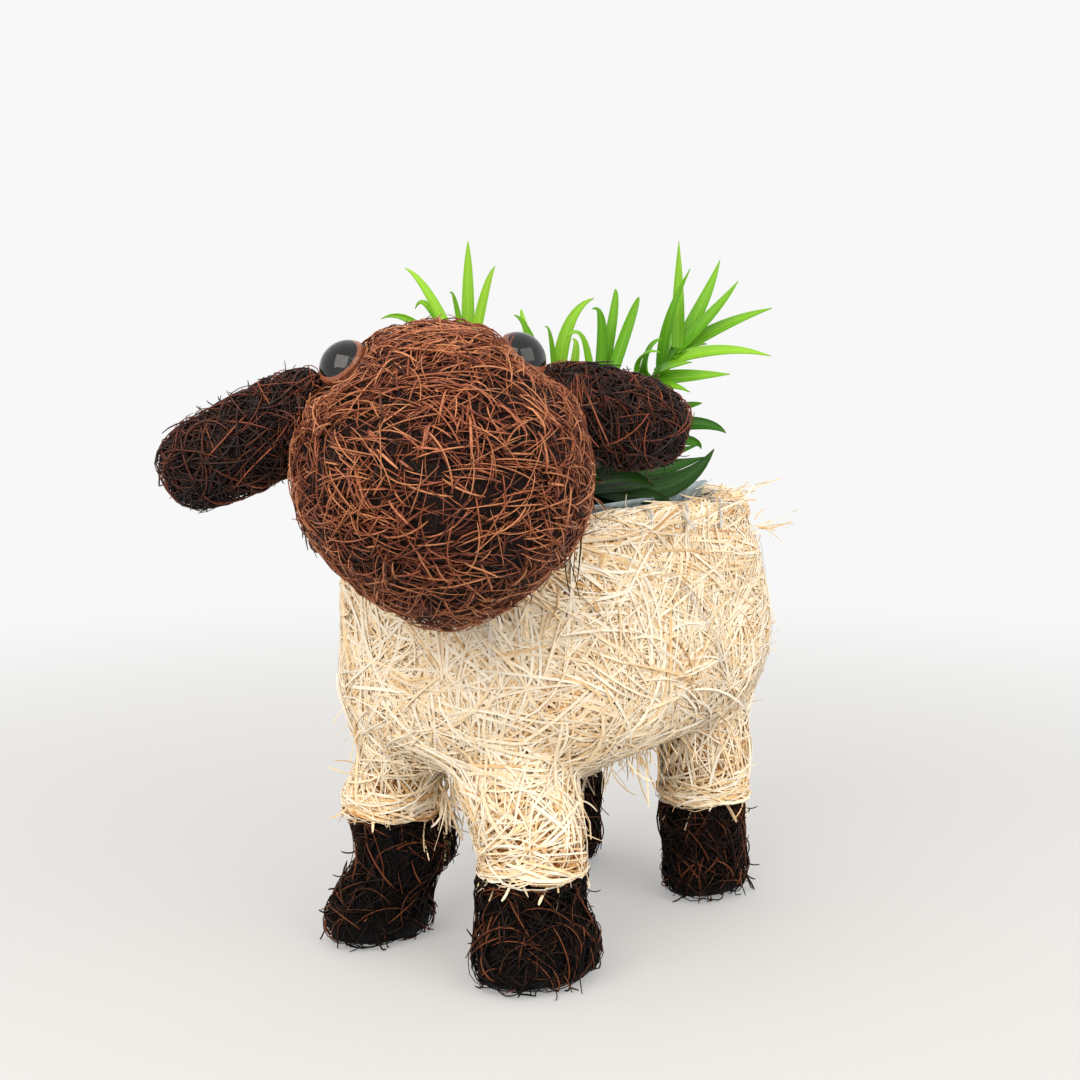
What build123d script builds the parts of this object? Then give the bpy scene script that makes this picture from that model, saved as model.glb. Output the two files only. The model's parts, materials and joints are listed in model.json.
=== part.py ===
from build123d import *
import os
from math import cos, radians, sin

# A free-standing sheep planter. Straw and coir are wound on a welded wire frame, a film liner
# hangs in the hollow back, and a planting block with leafy sprigs lifts out of the liner.
# The sheep faces -Y, its left side is +X, and the floor is the plane Z = 0.

os.makedirs("parts", exist_ok=True)

# Fits
WIRE_FIT = 0.2  # from a frame wire to the soft wall that it lies against
LINER_FIT = 3.4  # from the frame wires to the film, room for the ties and the neck wire
BLOCK_FIT = 0.3  # from the planting block to the film

# Wire frame
WIRE = 3.0
WIRE_BEND = 14.0
RIB_SPACING = 52.0
BOW_BEND = 10.0
TIE = 1.2
TIE_COUNT = 6
TIE_STAGGER = 0.2  # share of a step that the ties of each side are moved

# Body fleece
BODY_WIDTH = 150.0
BODY_LENGTH = 228.0
BODY_CORNER = 62.0
BODY_MIDDLE_Y = 15.0
BELLY_HEIGHT = 86.0
BODY_DEPTH = 106.0
BELLY_INSET = 34.0
LOWER_FLANK_RISE = 9.0
LOWER_FLANK_INSET = 15.0
FLANK_RISE = 28.0
FLANK_INSET = 1.5
WAIST_RISE = 60.0
SHOULDER_DROP = 16.0
SHOULDER_INSET = 1.5
RIM_INSET = 6.0
RUMP_SLOPE = 14.0  # how much shorter the rim is than the body, all at the rear
RUMP_SHOULDER_SLOPE = 5.0
FLEECE_WALL = 14.0
BELLY_WALL = 14.0

# Rim roll
ROLL_RADIUS = 8.0
ROLL_SINK = 1.5

# Film liner and planting block
FILM = 1.0
FILM_STAND = 1.5  # the film's edge over the top of the rim roll
FILM_FOOT = 16.0  # outside radius of the film round the floor of the tub
BLOCK_HEIGHT = 58.0

# Legs and boots
STANCE_WIDTH = 92.0
LEG_END_SET = 43.0  # from each end of the body to the middle of a boot
LEG_SET_BACK = 7.0  # the leg stands behind the middle of its boot
LEG_SPLAYS = {"front": 9.0, "rear": 3.0}  # how far a leg leans in, from cuff to belly
LEG_CUFF_RADIUS = 25.5
LEG_CALF_RADIUS = 24.0
LEG_THIGH_RADIUS = 24.5
LEG_ROOT_RADIUS = 25.0
CALF_RISE = 14.0
# how much slimmer the cuff and the calf of each leg are
LEG_SLIMS = {"front_right": 2.5, "front_left": 0.0, "rear_right": 2.5, "rear_left": 2.0}
ROOT_SINK = 20.0  # how far the leg reaches up into the body fleece
BOOT_HEIGHTS = {"front_right": 59.0, "front_left": 46.0, "rear_right": 49.0, "rear_left": 48.0}
ANKLE_RADII = {"front_right": 22.0, "front_left": 24.5, "rear_right": 20.0, "rear_left": 20.5}
BOOT_WIDTHS = {"front_right": 45.0, "front_left": 55.0, "rear_right": 44.0, "rear_left": 44.0}
TOE_REACHES = {"front_right": 36.0, "front_left": 37.0, "rear_right": 25.0, "rear_left": 25.0}
HEEL_STEP = 2.0  # how far the heel and the instep stand out from the ankle
BOOT_SWELL = 13.0  # height of the widest part of the boot
INSTEP = 30.0  # height where the boot becomes the ankle
SOLE_INSET = 5.5
WELT = 3.5
LEG_WIRE_FOOT = 9.0  # height of the leg wire's end over the floor

# Head
HEAD_RADIUS = 60.5
HEAD_FRONT = 72.0
HEAD_BACK = 32.0
HEAD_BARREL = 22.0
HEAD_WALL = 9.0
HEAD_YAW = 44.5
HEAD_DIP = 6.0
HEAD_SIDE = 38.0
HEAD_AHEAD = 24.0  # head middle in front of the body fleece
HEAD_RISE = 39.5  # head middle over the rim seat
HEAD_BOWS = (59.0, -59.0, 180.0)  # turn of each bow about the head, from straight up
BOW_BACK = 25.0
BOW_FRONT = 62.0
BOW_SHOULDER = 21.0
BOW_CHEEK = 34.0
BOW_WALL_GAP = 5.0
HEAD_BOW_BEND = 18.0

# Neck
NECK_RADIUS = 19.0
NECK_HEAD_RADIUS = 27.0
NECK_BASE_SINK = 6.0
NECK_WIRE_LAP = 46.0  # length of neck wire beside the keel wire
NECK_WIRE_RISE = 26.0
NECK_BEND = 8.0

# Ears
EAR_LENGTHS = {"right": 71.0, "left": 60.0}
EAR_HALF_HEIGHT = 20.0
EAR_HALF_DEPTH = 13.5
# place along the ear, share of its full height and depth there
EAR_SHARES = ((0.125, 1.0), (0.5, 1.0), (0.835, 0.875), (1.0, 0.5))
EAR_ROOT_SHARE = 0.75
EAR_ROOT_SIDE = 49.0
EAR_ROOT_UP = 24.0
EAR_SET_BACK = 20.0
EAR_DROOPS = {"right": 27.0, "left": 14.0}
EAR_SWEEP = 6.0
EAR_WIRE_GAP = 12.0
EAR_WIRE_TIP_GAP = 17.0  # from the ear wire's end to the tip of the ear
EAR_WIRE_ROOT = 6.0

# Eyes
EYE_DIAMETER = 22.0
EYE_DOME = 7.0
EYE_BACK = 2.0
EYE_SINK = 3.0
EYE_TURNS = {"right": 42.0, "left": 37.0}  # turn of each eye about the head, from straight up
EYE_SET_BACK = 11.0
EYE_TILT = 20.0
STEM_DIAMETER = 4.8
STEM_LENGTH = 17.0
WASHER_DIAMETER = 16.0
WASHER = 2.0

# Sprigs
STEM = 5.0
STEM_DEPTH = 26.0
STEM_BEND = 30.0
LEAF_LENGTH = 62.0
LEAF_WIDTH = 11.0
LEAF_BASE = 6.0
LEAF = 1.4
LEAF_ARCH = 5.0
LEAF_WIDEST = 0.33  # share of the leaf's length
GOLDEN_TURN = 137.5
# name: place across and along the block, stem height, lean across and along, leaves, first leaf's
# turn, turn between leaves, lowest and highest leaf angle
SPRIGS = {
    "left_sprig": (-27.0, -14.0, 100.0, -6.0, -2.0, 10, 75.0, GOLDEN_TURN, 52.0, 82.0),
    "middle_sprig": (-14.0, 32.0, 76.0, -3.0, 3.0, 6, 40.0, GOLDEN_TURN, 64.0, 84.0),
    "inner_sprig": (10.0, 22.0, 74.0, 2.0, 3.0, 6, 80.0, GOLDEN_TURN, 70.0, 84.0),
    "right_sprig": (20.0, 62.0, 104.0, 14.0, 10.0, 13, 0.0, GOLDEN_TURN, 24.0, 80.0),
    "low_sprig": (27.0, -2.0, 66.0, 3.0, 3.0, 4, 5.0, 18.0, 22.0, 40.0),
}
LEAF_SPREAD = 0.46  # share of the stem that carries leaves

# Worked out from the sizes above
RIM_SEAT = BELLY_HEIGHT + BODY_DEPTH
BODY_FRONT_Y = BODY_MIDDLE_Y - BODY_LENGTH / 2
STANCE_LENGTH = BODY_LENGTH - 2 * LEG_END_SET
POCKET_WIDTH = BODY_WIDTH - 2 * (RIM_INSET + FLEECE_WALL)
POCKET_LENGTH = BODY_LENGTH - 2 * (RIM_INSET + FLEECE_WALL) - RUMP_SLOPE
POCKET_MIDDLE_Y = BODY_MIDDLE_Y - RUMP_SLOPE / 2
POCKET_CORNER = BODY_CORNER - RIM_INSET - FLEECE_WALL
POCKET_FLOOR = BELLY_HEIGHT + BELLY_WALL
FRAME_INSET = WIRE_FIT + WIRE / 2
HOOP_HEIGHT = RIM_SEAT + TIE + WIRE_FIT + WIRE / 2
LINER_INSET = WIRE_FIT + WIRE + LINER_FIT
LINER_FLOOR = POCKET_FLOOR + 2 * (WIRE_FIT + WIRE)
ROLL_MIDDLE = RIM_SEAT + ROLL_RADIUS - ROLL_SINK
RIM_TOP = ROLL_MIDDLE + ROLL_RADIUS
BLOCK_FLOOR = LINER_FLOOR + FILM + BLOCK_FIT
BLOCK_TOP = BLOCK_FLOOR + BLOCK_HEIGHT

HEAD_MIDDLE = Vector(HEAD_SIDE, BODY_FRONT_Y - HEAD_AHEAD, RIM_SEAT + HEAD_RISE)
HEAD_FORWARD = Vector(
    sin(radians(HEAD_YAW)) * cos(radians(HEAD_DIP)),
    -cos(radians(HEAD_YAW)) * cos(radians(HEAD_DIP)),
    -sin(radians(HEAD_DIP)),
)
HEAD_ACROSS = Vector(cos(radians(HEAD_YAW)), sin(radians(HEAD_YAW)), 0)
# In the head's plane, x runs across to the sheep's left, y up and z forward to the nose
HEAD_PLANE = Plane(HEAD_MIDDLE, x_dir=HEAD_ACROSS, z_dir=HEAD_FORWARD)
HEAD_PROFILE_PLANE = Plane(HEAD_MIDDLE, x_dir=HEAD_FORWARD, z_dir=-HEAD_ACROSS)


# Shared outlines

def oval(plane, right, left, up, down):
    """A closed outline of four quarter ellipses, each with its own reach from the middle."""
    with BuildSketch(plane) as outline:
        with BuildLine():
            EllipticalCenterArc((0, 0), right, up, start_angle=0, arc_size=90)
            EllipticalCenterArc((0, 0), left, up, start_angle=90, arc_size=90)
            EllipticalCenterArc((0, 0), left, down, start_angle=180, arc_size=90)
            EllipticalCenterArc((0, 0), right, down, start_angle=270, arc_size=90)
        make_face()
    return outline.sketch


def tub_outline(height, inset, rump=0):
    """The body's plan, drawn in all round by inset and at the rear by rump, at a height over the floor."""
    with BuildSketch(Plane.XY.offset(height)) as outline:
        with Locations((0, BODY_MIDDLE_Y - rump / 2)):
            RectangleRounded(BODY_WIDTH - 2 * inset, BODY_LENGTH - 2 * inset - rump, BODY_CORNER - inset)
    return outline.sketch


def pocket_prism(inset, bottom, top):
    """The pocket's plan, drawn in by inset, as a straight block from bottom to top."""
    with BuildPart() as prism:
        add(tub_outline(bottom, RIM_INSET + FLEECE_WALL + inset, RUMP_SLOPE))
        extrude(amount=top - bottom)
    return prism.part


def tub_block(inset, bottom, top, foot):
    """A block of the pocket's plan with its lower edge rounded."""
    with BuildPart() as block:
        add(pocket_prism(inset, bottom, top))
        fillet(block.edges().group_by(Axis.Z)[0], foot)
    return block.part


def bent_wire(points, bend, diameter=WIRE, close=False):
    """A round wire along straight runs joined by bends."""
    with BuildPart() as wire:
        with BuildLine() as path:
            FilletPolyline(*points, radius=bend, close=close)
        with BuildSketch(Plane(path.line @ 0, z_dir=path.line % 0)):
            Circle(diameter / 2)
        sweep()
    return wire.part


def rim_wire(inset, height, diameter):
    """A round tube that follows the pocket's plan, drawn in by inset."""
    half_width = POCKET_WIDTH / 2 - inset
    half_length = POCKET_LENGTH / 2 - inset
    corners = [
        (half_width, POCKET_MIDDLE_Y - half_length, height),
        (half_width, POCKET_MIDDLE_Y + half_length, height),
        (-half_width, POCKET_MIDDLE_Y + half_length, height),
        (-half_width, POCKET_MIDDLE_Y - half_length, height),
    ]
    return bent_wire(corners, POCKET_CORNER - inset, diameter, close=True)


def head_form(wall):
    """The egg of the head, drawn in all round by wall."""
    barrel_back = -HEAD_BARREL / 2
    barrel_front = HEAD_BARREL / 2
    radius = HEAD_RADIUS - wall
    with BuildPart() as egg:
        with BuildSketch(HEAD_PROFILE_PLANE):
            with BuildLine():
                EllipticalCenterArc(
                    (barrel_back, 0), HEAD_BACK - wall, radius, start_angle=90, arc_size=90
                )
                EllipticalCenterArc(
                    (barrel_front, 0), HEAD_FRONT - wall, radius, start_angle=0, arc_size=90
                )
                Line((barrel_back, radius), (barrel_front, radius))
                Line((barrel_back - HEAD_BACK + wall, 0), (barrel_front + HEAD_FRONT - wall, 0))
            make_face()
        revolve(axis=Axis(HEAD_MIDDLE, HEAD_FORWARD))
    return egg.part


def head_point(across, up, forward):
    """A place in the head's own plane, as a place in the sheep."""
    return HEAD_PLANE.from_local_coords((across, up, forward))


# Wire frame of the body

with BuildPart() as rim_hoop:
    add(rim_wire(FRAME_INSET, HOOP_HEIGHT, WIRE))

KEEL_FRONT = POCKET_MIDDLE_Y - POCKET_LENGTH / 2 + FRAME_INSET
KEEL_REAR = POCKET_MIDDLE_Y + POCKET_LENGTH / 2 - FRAME_INSET
KEEL_HEIGHT = POCKET_FLOOR + FRAME_INSET
WIRE_TOP = HOOP_HEIGHT - WIRE / 2

with BuildPart() as keel_wire:
    add(
        bent_wire(
            [
                (0, KEEL_FRONT, WIRE_TOP),
                (0, KEEL_FRONT, KEEL_HEIGHT),
                (0, KEEL_REAR, KEEL_HEIGHT),
                (0, KEEL_REAR, WIRE_TOP),
            ],
            WIRE_BEND,
        )
    )

ribs = {}
RIB_HEIGHT = KEEL_HEIGHT + WIRE
RIB_HALF_WIDTH = POCKET_WIDTH / 2 - FRAME_INSET
STRAIGHT_HALF = POCKET_LENGTH / 2 - POCKET_CORNER
for name, step in (("front_rib", -1), ("middle_rib", 0), ("rear_rib", 1)):
    rib_y = POCKET_MIDDLE_Y + step * RIB_SPACING
    past = max(0.0, abs(step) * RIB_SPACING - STRAIGHT_HALF)
    reach = POCKET_CORNER - FRAME_INSET
    draw_in = reach - (reach**2 - past**2) ** 0.5
    rib_x = RIB_HALF_WIDTH - draw_in
    with BuildPart() as rib:
        add(
            bent_wire(
                [
                    (-rib_x, rib_y, WIRE_TOP),
                    (-rib_x, rib_y, RIB_HEIGHT),
                    (rib_x, rib_y, RIB_HEIGHT),
                    (rib_x, rib_y, WIRE_TOP),
                ],
                WIRE_BEND,
            )
        )
    ribs[name] = rib.part

# Leg bows: one bent wire for each pair of legs, through the belly fleece and down into the boots

LEG_PAIRS = {"front": -1, "rear": 1}
BOW_HEIGHT = BELLY_HEIGHT + BELLY_WALL / 2
leg_bows = {}
for pair, step in LEG_PAIRS.items():
    leg_y = step * STANCE_LENGTH / 2 + LEG_SET_BACK
    bottom_x = STANCE_WIDTH / 2 - LEG_SPLAYS[pair] / 2
    top_x = bottom_x - LEG_SPLAYS[pair]
    with BuildPart() as leg_bow:
        add(
            bent_wire(
                [
                    (-bottom_x, leg_y, LEG_WIRE_FOOT),
                    (-top_x, leg_y, BOW_HEIGHT),
                    (top_x, leg_y, BOW_HEIGHT),
                    (bottom_x, leg_y, LEG_WIRE_FOOT),
                ],
                BOW_BEND,
            )
        )
    leg_bows[pair] = leg_bow.part

# Neck wire: inside the keel wire and the rim hoop, out over the rim and through the head

NECK_Y = KEEL_FRONT + WIRE
NECK_ENTRY = head_point(0, 0, -HEAD_BARREL / 2 - HEAD_BACK - NECK_BEND)
with BuildPart() as neck_wire:
    add(
        bent_wire(
            [
                (0, NECK_Y, WIRE_TOP - NECK_WIRE_LAP),
                (0, NECK_Y, RIM_SEAT + NECK_WIRE_RISE),
                tuple(NECK_ENTRY),
                tuple(head_point(0, 0, BOW_FRONT + WIRE)),
            ],
            NECK_BEND,
        )
    )

# Head bows: three bent wires round the neck wire, like a whisk

BOW_REACH = HEAD_RADIUS - HEAD_WALL - BOW_WALL_GAP
head_bows = {}
for name, turn in zip(("left_head_bow", "right_head_bow", "lower_head_bow"), HEAD_BOWS):
    across = sin(radians(turn))
    up = cos(radians(turn))
    stations = (
        (-BOW_BACK, WIRE),
        (-BOW_SHOULDER, BOW_REACH - WIRE),
        (BOW_CHEEK, BOW_REACH - WIRE),
        (BOW_FRONT, WIRE),
    )
    with BuildPart() as head_bow:
        add(
            bent_wire(
                [tuple(head_point(across * r, up * r, forward)) for forward, r in stations],
                HEAD_BOW_BEND,
            )
        )
    head_bows[name] = head_bow.part

# Ear wires: hairpins from the head bows out into the ears

ear_planes = {}
ear_wires = {}
for side, sign in (("right", -1), ("left", 1)):
    droop = radians(EAR_DROOPS[side])
    sweep_back = radians(EAR_SWEEP)
    outward = (
        HEAD_ACROSS * (sign * cos(droop) * cos(sweep_back))
        - HEAD_PLANE.y_dir * sin(droop)
        - HEAD_FORWARD * (cos(droop) * sin(sweep_back))
    )
    root = head_point(sign * EAR_ROOT_SIDE, EAR_ROOT_UP, -EAR_SET_BACK)
    # x runs forward along the head, z out along the ear
    ear_planes[side] = Plane(root, x_dir=HEAD_FORWARD, z_dir=outward)
    wire_reach = EAR_LENGTHS[side] - EAR_WIRE_TIP_GAP
    prongs = (
        (EAR_WIRE_GAP / 2, -EAR_WIRE_ROOT),
        (EAR_WIRE_GAP / 2, wire_reach),
        (-EAR_WIRE_GAP / 2, wire_reach),
        (-EAR_WIRE_GAP / 2, -EAR_WIRE_ROOT),
    )
    with BuildPart() as ear_wire:
        add(
            bent_wire(
                [tuple(ear_planes[side].from_local_coords((x, 0, z))) for x, z in prongs],
                EAR_WIRE_GAP / 2 - WIRE_FIT,
            )
        )
    ear_wires[side] = ear_wire.part

# Body fleece: a swelling tub of wound straw with a straight-walled pocket

with BuildPart() as body_form:
    loft(
        [
            tub_outline(BELLY_HEIGHT, BELLY_INSET),
            tub_outline(BELLY_HEIGHT + LOWER_FLANK_RISE, LOWER_FLANK_INSET),
            tub_outline(BELLY_HEIGHT + FLANK_RISE, FLANK_INSET),
            tub_outline(BELLY_HEIGHT + WAIST_RISE, 0),
            tub_outline(RIM_SEAT - SHOULDER_DROP, SHOULDER_INSET, RUMP_SHOULDER_SLOPE),
            tub_outline(RIM_SEAT, RIM_INSET, RUMP_SLOPE),
        ]
    )

with BuildPart() as body_fleece:
    add(body_form.part)
    add(pocket_prism(0, POCKET_FLOOR, RIM_TOP), mode=Mode.SUBTRACT)
    for leg_bow_part in leg_bows.values():
        add(leg_bow_part, mode=Mode.SUBTRACT)

# Rim ties: square loops of tie wire round the rim roll and the rim hoop

ROLL_INSET = -(ROLL_RADIUS + WIRE_FIT)
TIE_INNER = FRAME_INSET + WIRE / 2 + WIRE_FIT
TIE_OUTER = -(2 * ROLL_RADIUS + 2 * WIRE_FIT)
TIE_SPAN = TIE_INNER - TIE_OUTER
TIE_RISE = RIM_TOP - RIM_SEAT - TIE + WIRE_FIT
TIE_STEP = 2 * STRAIGHT_HALF / (TIE_COUNT // 2)
with BuildPart() as rim_ties:
    for sign in (-1, 1):
        for row in range(TIE_COUNT // 2):
            tie_y = POCKET_MIDDLE_Y - STRAIGHT_HALF + (row + 1 / 2 + sign * TIE_STAGGER) * TIE_STEP
            tie_x = sign * (POCKET_WIDTH / 2 - (TIE_INNER + TIE_OUTER) / 2)
            tie_middle = (tie_x, tie_y, RIM_SEAT + TIE + TIE_RISE / 2)
            with BuildSketch(Plane(tie_middle, x_dir=(1, 0, 0), z_dir=(0, -1, 0))):
                RectangleRounded(TIE_SPAN + 2 * TIE, TIE_RISE + 2 * TIE, 2 * TIE)
                RectangleRounded(TIE_SPAN, TIE_RISE, TIE, mode=Mode.SUBTRACT)
            extrude(amount=TIE / 2, both=True)

# Rim roll: a bundle of straw that lies on the fleece, flat underneath

with BuildPart() as rim_roll:
    add(rim_wire(ROLL_INSET, ROLL_MIDDLE, 2 * ROLL_RADIUS))
    split(bisect_by=Plane.XY.offset(RIM_SEAT), keep=Keep.TOP)
    add(rim_ties.part, mode=Mode.SUBTRACT)

# Film liner: an open tub inside the frame wires

with BuildPart() as liner:
    add(tub_block(LINER_INSET, LINER_FLOOR, RIM_TOP + FILM_STAND, FILM_FOOT))
    add(
        tub_block(LINER_INSET + FILM, LINER_FLOOR + FILM, RIM_TOP + 2 * FILM_STAND, FILM_FOOT - FILM),
        mode=Mode.SUBTRACT,
    )

# Boots and leg fleeces, one of each for every leg

boots = {}
leg_fleeces = {}
for pair, step in LEG_PAIRS.items():
    for side, sign in (("right", -1), ("left", 1)):
        leg = f"{pair}_{side}"
        boot_height = BOOT_HEIGHTS[leg]
        boot_y = step * STANCE_LENGTH / 2 + LEG_SET_BACK
        boot_x = sign * STANCE_WIDTH / 2
        bottom_x = STANCE_WIDTH / 2 - LEG_SPLAYS[pair] / 2
        top_x = bottom_x - LEG_SPLAYS[pair]
        cuff_x = sign * bottom_x
        toe = TOE_REACHES[leg]
        half = BOOT_WIDTHS[leg] / 2
        ankle = ANKLE_RADII[leg]
        heel = ankle + HEEL_STEP
        sole_half = half - SOLE_INSET
        sole = Plane((boot_x, boot_y, 0))
        with BuildPart() as boot:
            loft(
                [
                    oval(sole, sole_half, sole_half, heel - SOLE_INSET, toe - SOLE_INSET),
                    oval(sole.offset(WELT), half - WELT / 2, half - WELT / 2, heel, toe),
                    oval(sole.offset(BOOT_SWELL), half, half, heel, toe),
                    oval(Plane((cuff_x, boot_y, INSTEP)), ankle, ankle, ankle, heel),
                    oval(Plane((cuff_x, boot_y, boot_height)), ankle, ankle, ankle, ankle),
                ]
            )
            add(leg_bows[pair], mode=Mode.SUBTRACT)
        boots[leg] = boot.part
        root_height = BELLY_HEIGHT + ROOT_SINK
        rings = (
            (boot_height, bottom_x, LEG_CUFF_RADIUS - LEG_SLIMS[leg]),
            (boot_height + CALF_RISE, bottom_x, LEG_CALF_RADIUS - LEG_SLIMS[leg]),
            (BELLY_HEIGHT, top_x, LEG_THIGH_RADIUS),
            (root_height, top_x, LEG_ROOT_RADIUS),
        )
        with BuildPart() as leg_fleece:
            loft([oval(Plane((sign * x, boot_y, z)), r, r, r, r) for z, x, r in rings])
            add(body_form.part, mode=Mode.SUBTRACT)
            add(leg_bows[pair], mode=Mode.SUBTRACT)
        leg_fleeces[leg] = leg_fleece.part

# Eyes: a clear dome on an amber back, whose stem is clamped by a washer inside the head

eye_planes = {}
eye_lenses = {}
eye_backs = {}
eye_washers = {}
EYE_RADIUS = EYE_DIAMETER / 2
DOME_RADIUS = (EYE_RADIUS**2 + EYE_DOME**2) / (2 * EYE_DOME)
EYE_BEHIND = EYE_SET_BACK - HEAD_BARREL / 2
EYE_RING = HEAD_RADIUS * (1 - (EYE_BEHIND / HEAD_BACK) ** 2) ** 0.5
for side, sign in (("right", -1), ("left", 1)):
    across = sign * sin(radians(EYE_TURNS[side]))
    up = cos(radians(EYE_TURNS[side]))
    seat = EYE_RING - EYE_SINK
    seat_point = head_point(across * seat, up * seat, -EYE_SET_BACK)
    tilt = radians(EYE_TILT)
    gaze = (HEAD_ACROSS * across + HEAD_PLANE.y_dir * up) * cos(tilt) + HEAD_FORWARD * sin(tilt)
    eye_plane = Plane(seat_point, x_dir=HEAD_FORWARD.cross(gaze), z_dir=gaze)
    section = Plane(seat_point, x_dir=eye_plane.x_dir, z_dir=-eye_plane.y_dir)
    with BuildPart() as eye_lens:
        with BuildSketch(section):
            with BuildLine():
                dome_top = EYE_BACK + EYE_DOME
                CenterArc((0, dome_top - DOME_RADIUS), DOME_RADIUS, 90, -90)
                Line((0, dome_top), (0, dome_top - DOME_RADIUS))
                Line((0, dome_top - DOME_RADIUS), (DOME_RADIUS, dome_top - DOME_RADIUS))
            make_face()
            with BuildLine():
                Polyline(
                    (0, EYE_BACK),
                    (2 * DOME_RADIUS, EYE_BACK),
                    (2 * DOME_RADIUS, -2 * DOME_RADIUS),
                    (0, -2 * DOME_RADIUS),
                    close=True,
                )
            make_face(mode=Mode.SUBTRACT)
        revolve(axis=Axis(seat_point, gaze))
    with BuildPart() as eye_back:
        with BuildSketch(eye_plane):
            Circle(EYE_RADIUS)
        extrude(amount=EYE_BACK)
        with BuildSketch(eye_plane):
            Circle(STEM_DIAMETER / 2)
        extrude(amount=-STEM_LENGTH)
    with BuildPart() as eye_washer:
        with BuildSketch(eye_plane.offset(-(HEAD_WALL + WASHER))):
            Circle(WASHER_DIAMETER / 2)
            Circle(STEM_DIAMETER / 2, mode=Mode.SUBTRACT)
        extrude(amount=-WASHER)
    eye_lenses[side] = eye_lens.part
    eye_backs[side] = eye_back.part
    eye_washers[side] = eye_washer.part

# Head: a hollow egg of coir, pressed in where it meets the body

head_egg = head_form(0)
with BuildPart() as head:
    add(head_egg)
    add(head_form(HEAD_WALL), mode=Mode.SUBTRACT)
    add(body_form.part, mode=Mode.SUBTRACT)
    add(rim_roll.part, mode=Mode.SUBTRACT)
    add(neck_wire.part, mode=Mode.SUBTRACT)
    for side in ("right", "left"):
        add(ear_wires[side], mode=Mode.SUBTRACT)
        add(eye_lenses[side], mode=Mode.SUBTRACT)
        add(eye_backs[side], mode=Mode.SUBTRACT)
        add(eye_washers[side], mode=Mode.SUBTRACT)

# Ears: thick drooping pads of coir

ears = {}
for side, ear_plane in ear_planes.items():
    stations = [(-EAR_WIRE_ROOT, EAR_ROOT_SHARE)]
    stations += [(place * EAR_LENGTHS[side], share) for place, share in EAR_SHARES]
    rings = [(out, EAR_HALF_HEIGHT * share, EAR_HALF_DEPTH * share) for out, share in stations]
    with BuildPart() as ear:
        loft([oval(ear_plane.offset(out), depth, depth, height, height) for out, height, depth in rings])
        add(head_egg, mode=Mode.SUBTRACT)
        add(ear_wires[side], mode=Mode.SUBTRACT)
        add(eye_lenses[side], mode=Mode.SUBTRACT)
        add(eye_backs[side], mode=Mode.SUBTRACT)
    ears[side] = ear.part

# Neck fleece: a short collar from the front of the rim into the back of the head

NECK_BASE = Vector(0, BODY_FRONT_Y + NECK_BASE_SINK, RIM_SEAT)
NECK_TOP = head_point(0, 0, -HEAD_BARREL / 2)
NECK_LINE = NECK_TOP - NECK_BASE
NECK_PLANE = Plane(NECK_BASE, x_dir=HEAD_ACROSS, z_dir=NECK_LINE)
with BuildPart() as neck_fleece:
    loft(
        [
            oval(NECK_PLANE, NECK_RADIUS, NECK_RADIUS, NECK_RADIUS, NECK_RADIUS),
            oval(
                NECK_PLANE.offset(NECK_LINE.length),
                NECK_HEAD_RADIUS,
                NECK_HEAD_RADIUS,
                NECK_HEAD_RADIUS,
                NECK_HEAD_RADIUS,
            ),
        ]
    )
    add(head_egg, mode=Mode.SUBTRACT)
    add(body_form.part, mode=Mode.SUBTRACT)
    add(rim_roll.part, mode=Mode.SUBTRACT)
    add(
        pocket_prism(LINER_INSET - WIRE_FIT, POCKET_FLOOR, RIM_SEAT + HEAD_RISE + HEAD_RADIUS),
        mode=Mode.SUBTRACT,
    )
    add(pocket_prism(0, POCKET_FLOOR, RIM_SEAT), mode=Mode.SUBTRACT)
    add(rim_hoop.part, mode=Mode.SUBTRACT)
    add(keel_wire.part, mode=Mode.SUBTRACT)
    add(neck_wire.part, mode=Mode.SUBTRACT)

# Sprigs: a stem with strap leaves that arch away from it

widest = LEAF_WIDEST * LEAF_LENGTH
with BuildPart() as leaf_blade:
    with BuildSketch(Plane.XZ):
        with BuildLine():
            ThreePointArc((0, 0), (LEAF_LENGTH / 2, LEAF_ARCH), (LEAF_LENGTH, 0))
            Line((LEAF_LENGTH, 0), (LEAF_LENGTH, LEAF))
            ThreePointArc((LEAF_LENGTH, LEAF), (LEAF_LENGTH / 2, LEAF_ARCH + LEAF), (0, LEAF))
            Line((0, LEAF), (0, 0))
        make_face()
    extrude(amount=LEAF_WIDTH, both=True)
    with BuildSketch(Plane.XY.offset(-LEAF_ARCH)):
        with BuildLine():
            ThreePointArc((0, LEAF_BASE / 2), (widest, LEAF_WIDTH / 2), (LEAF_LENGTH, 0))
            ThreePointArc((LEAF_LENGTH, 0), (widest, -LEAF_WIDTH / 2), (0, -LEAF_BASE / 2))
            Line((0, -LEAF_BASE / 2), (0, LEAF_BASE / 2))
        make_face()
    extrude(amount=3 * LEAF_ARCH + LEAF, mode=Mode.INTERSECT)

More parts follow.
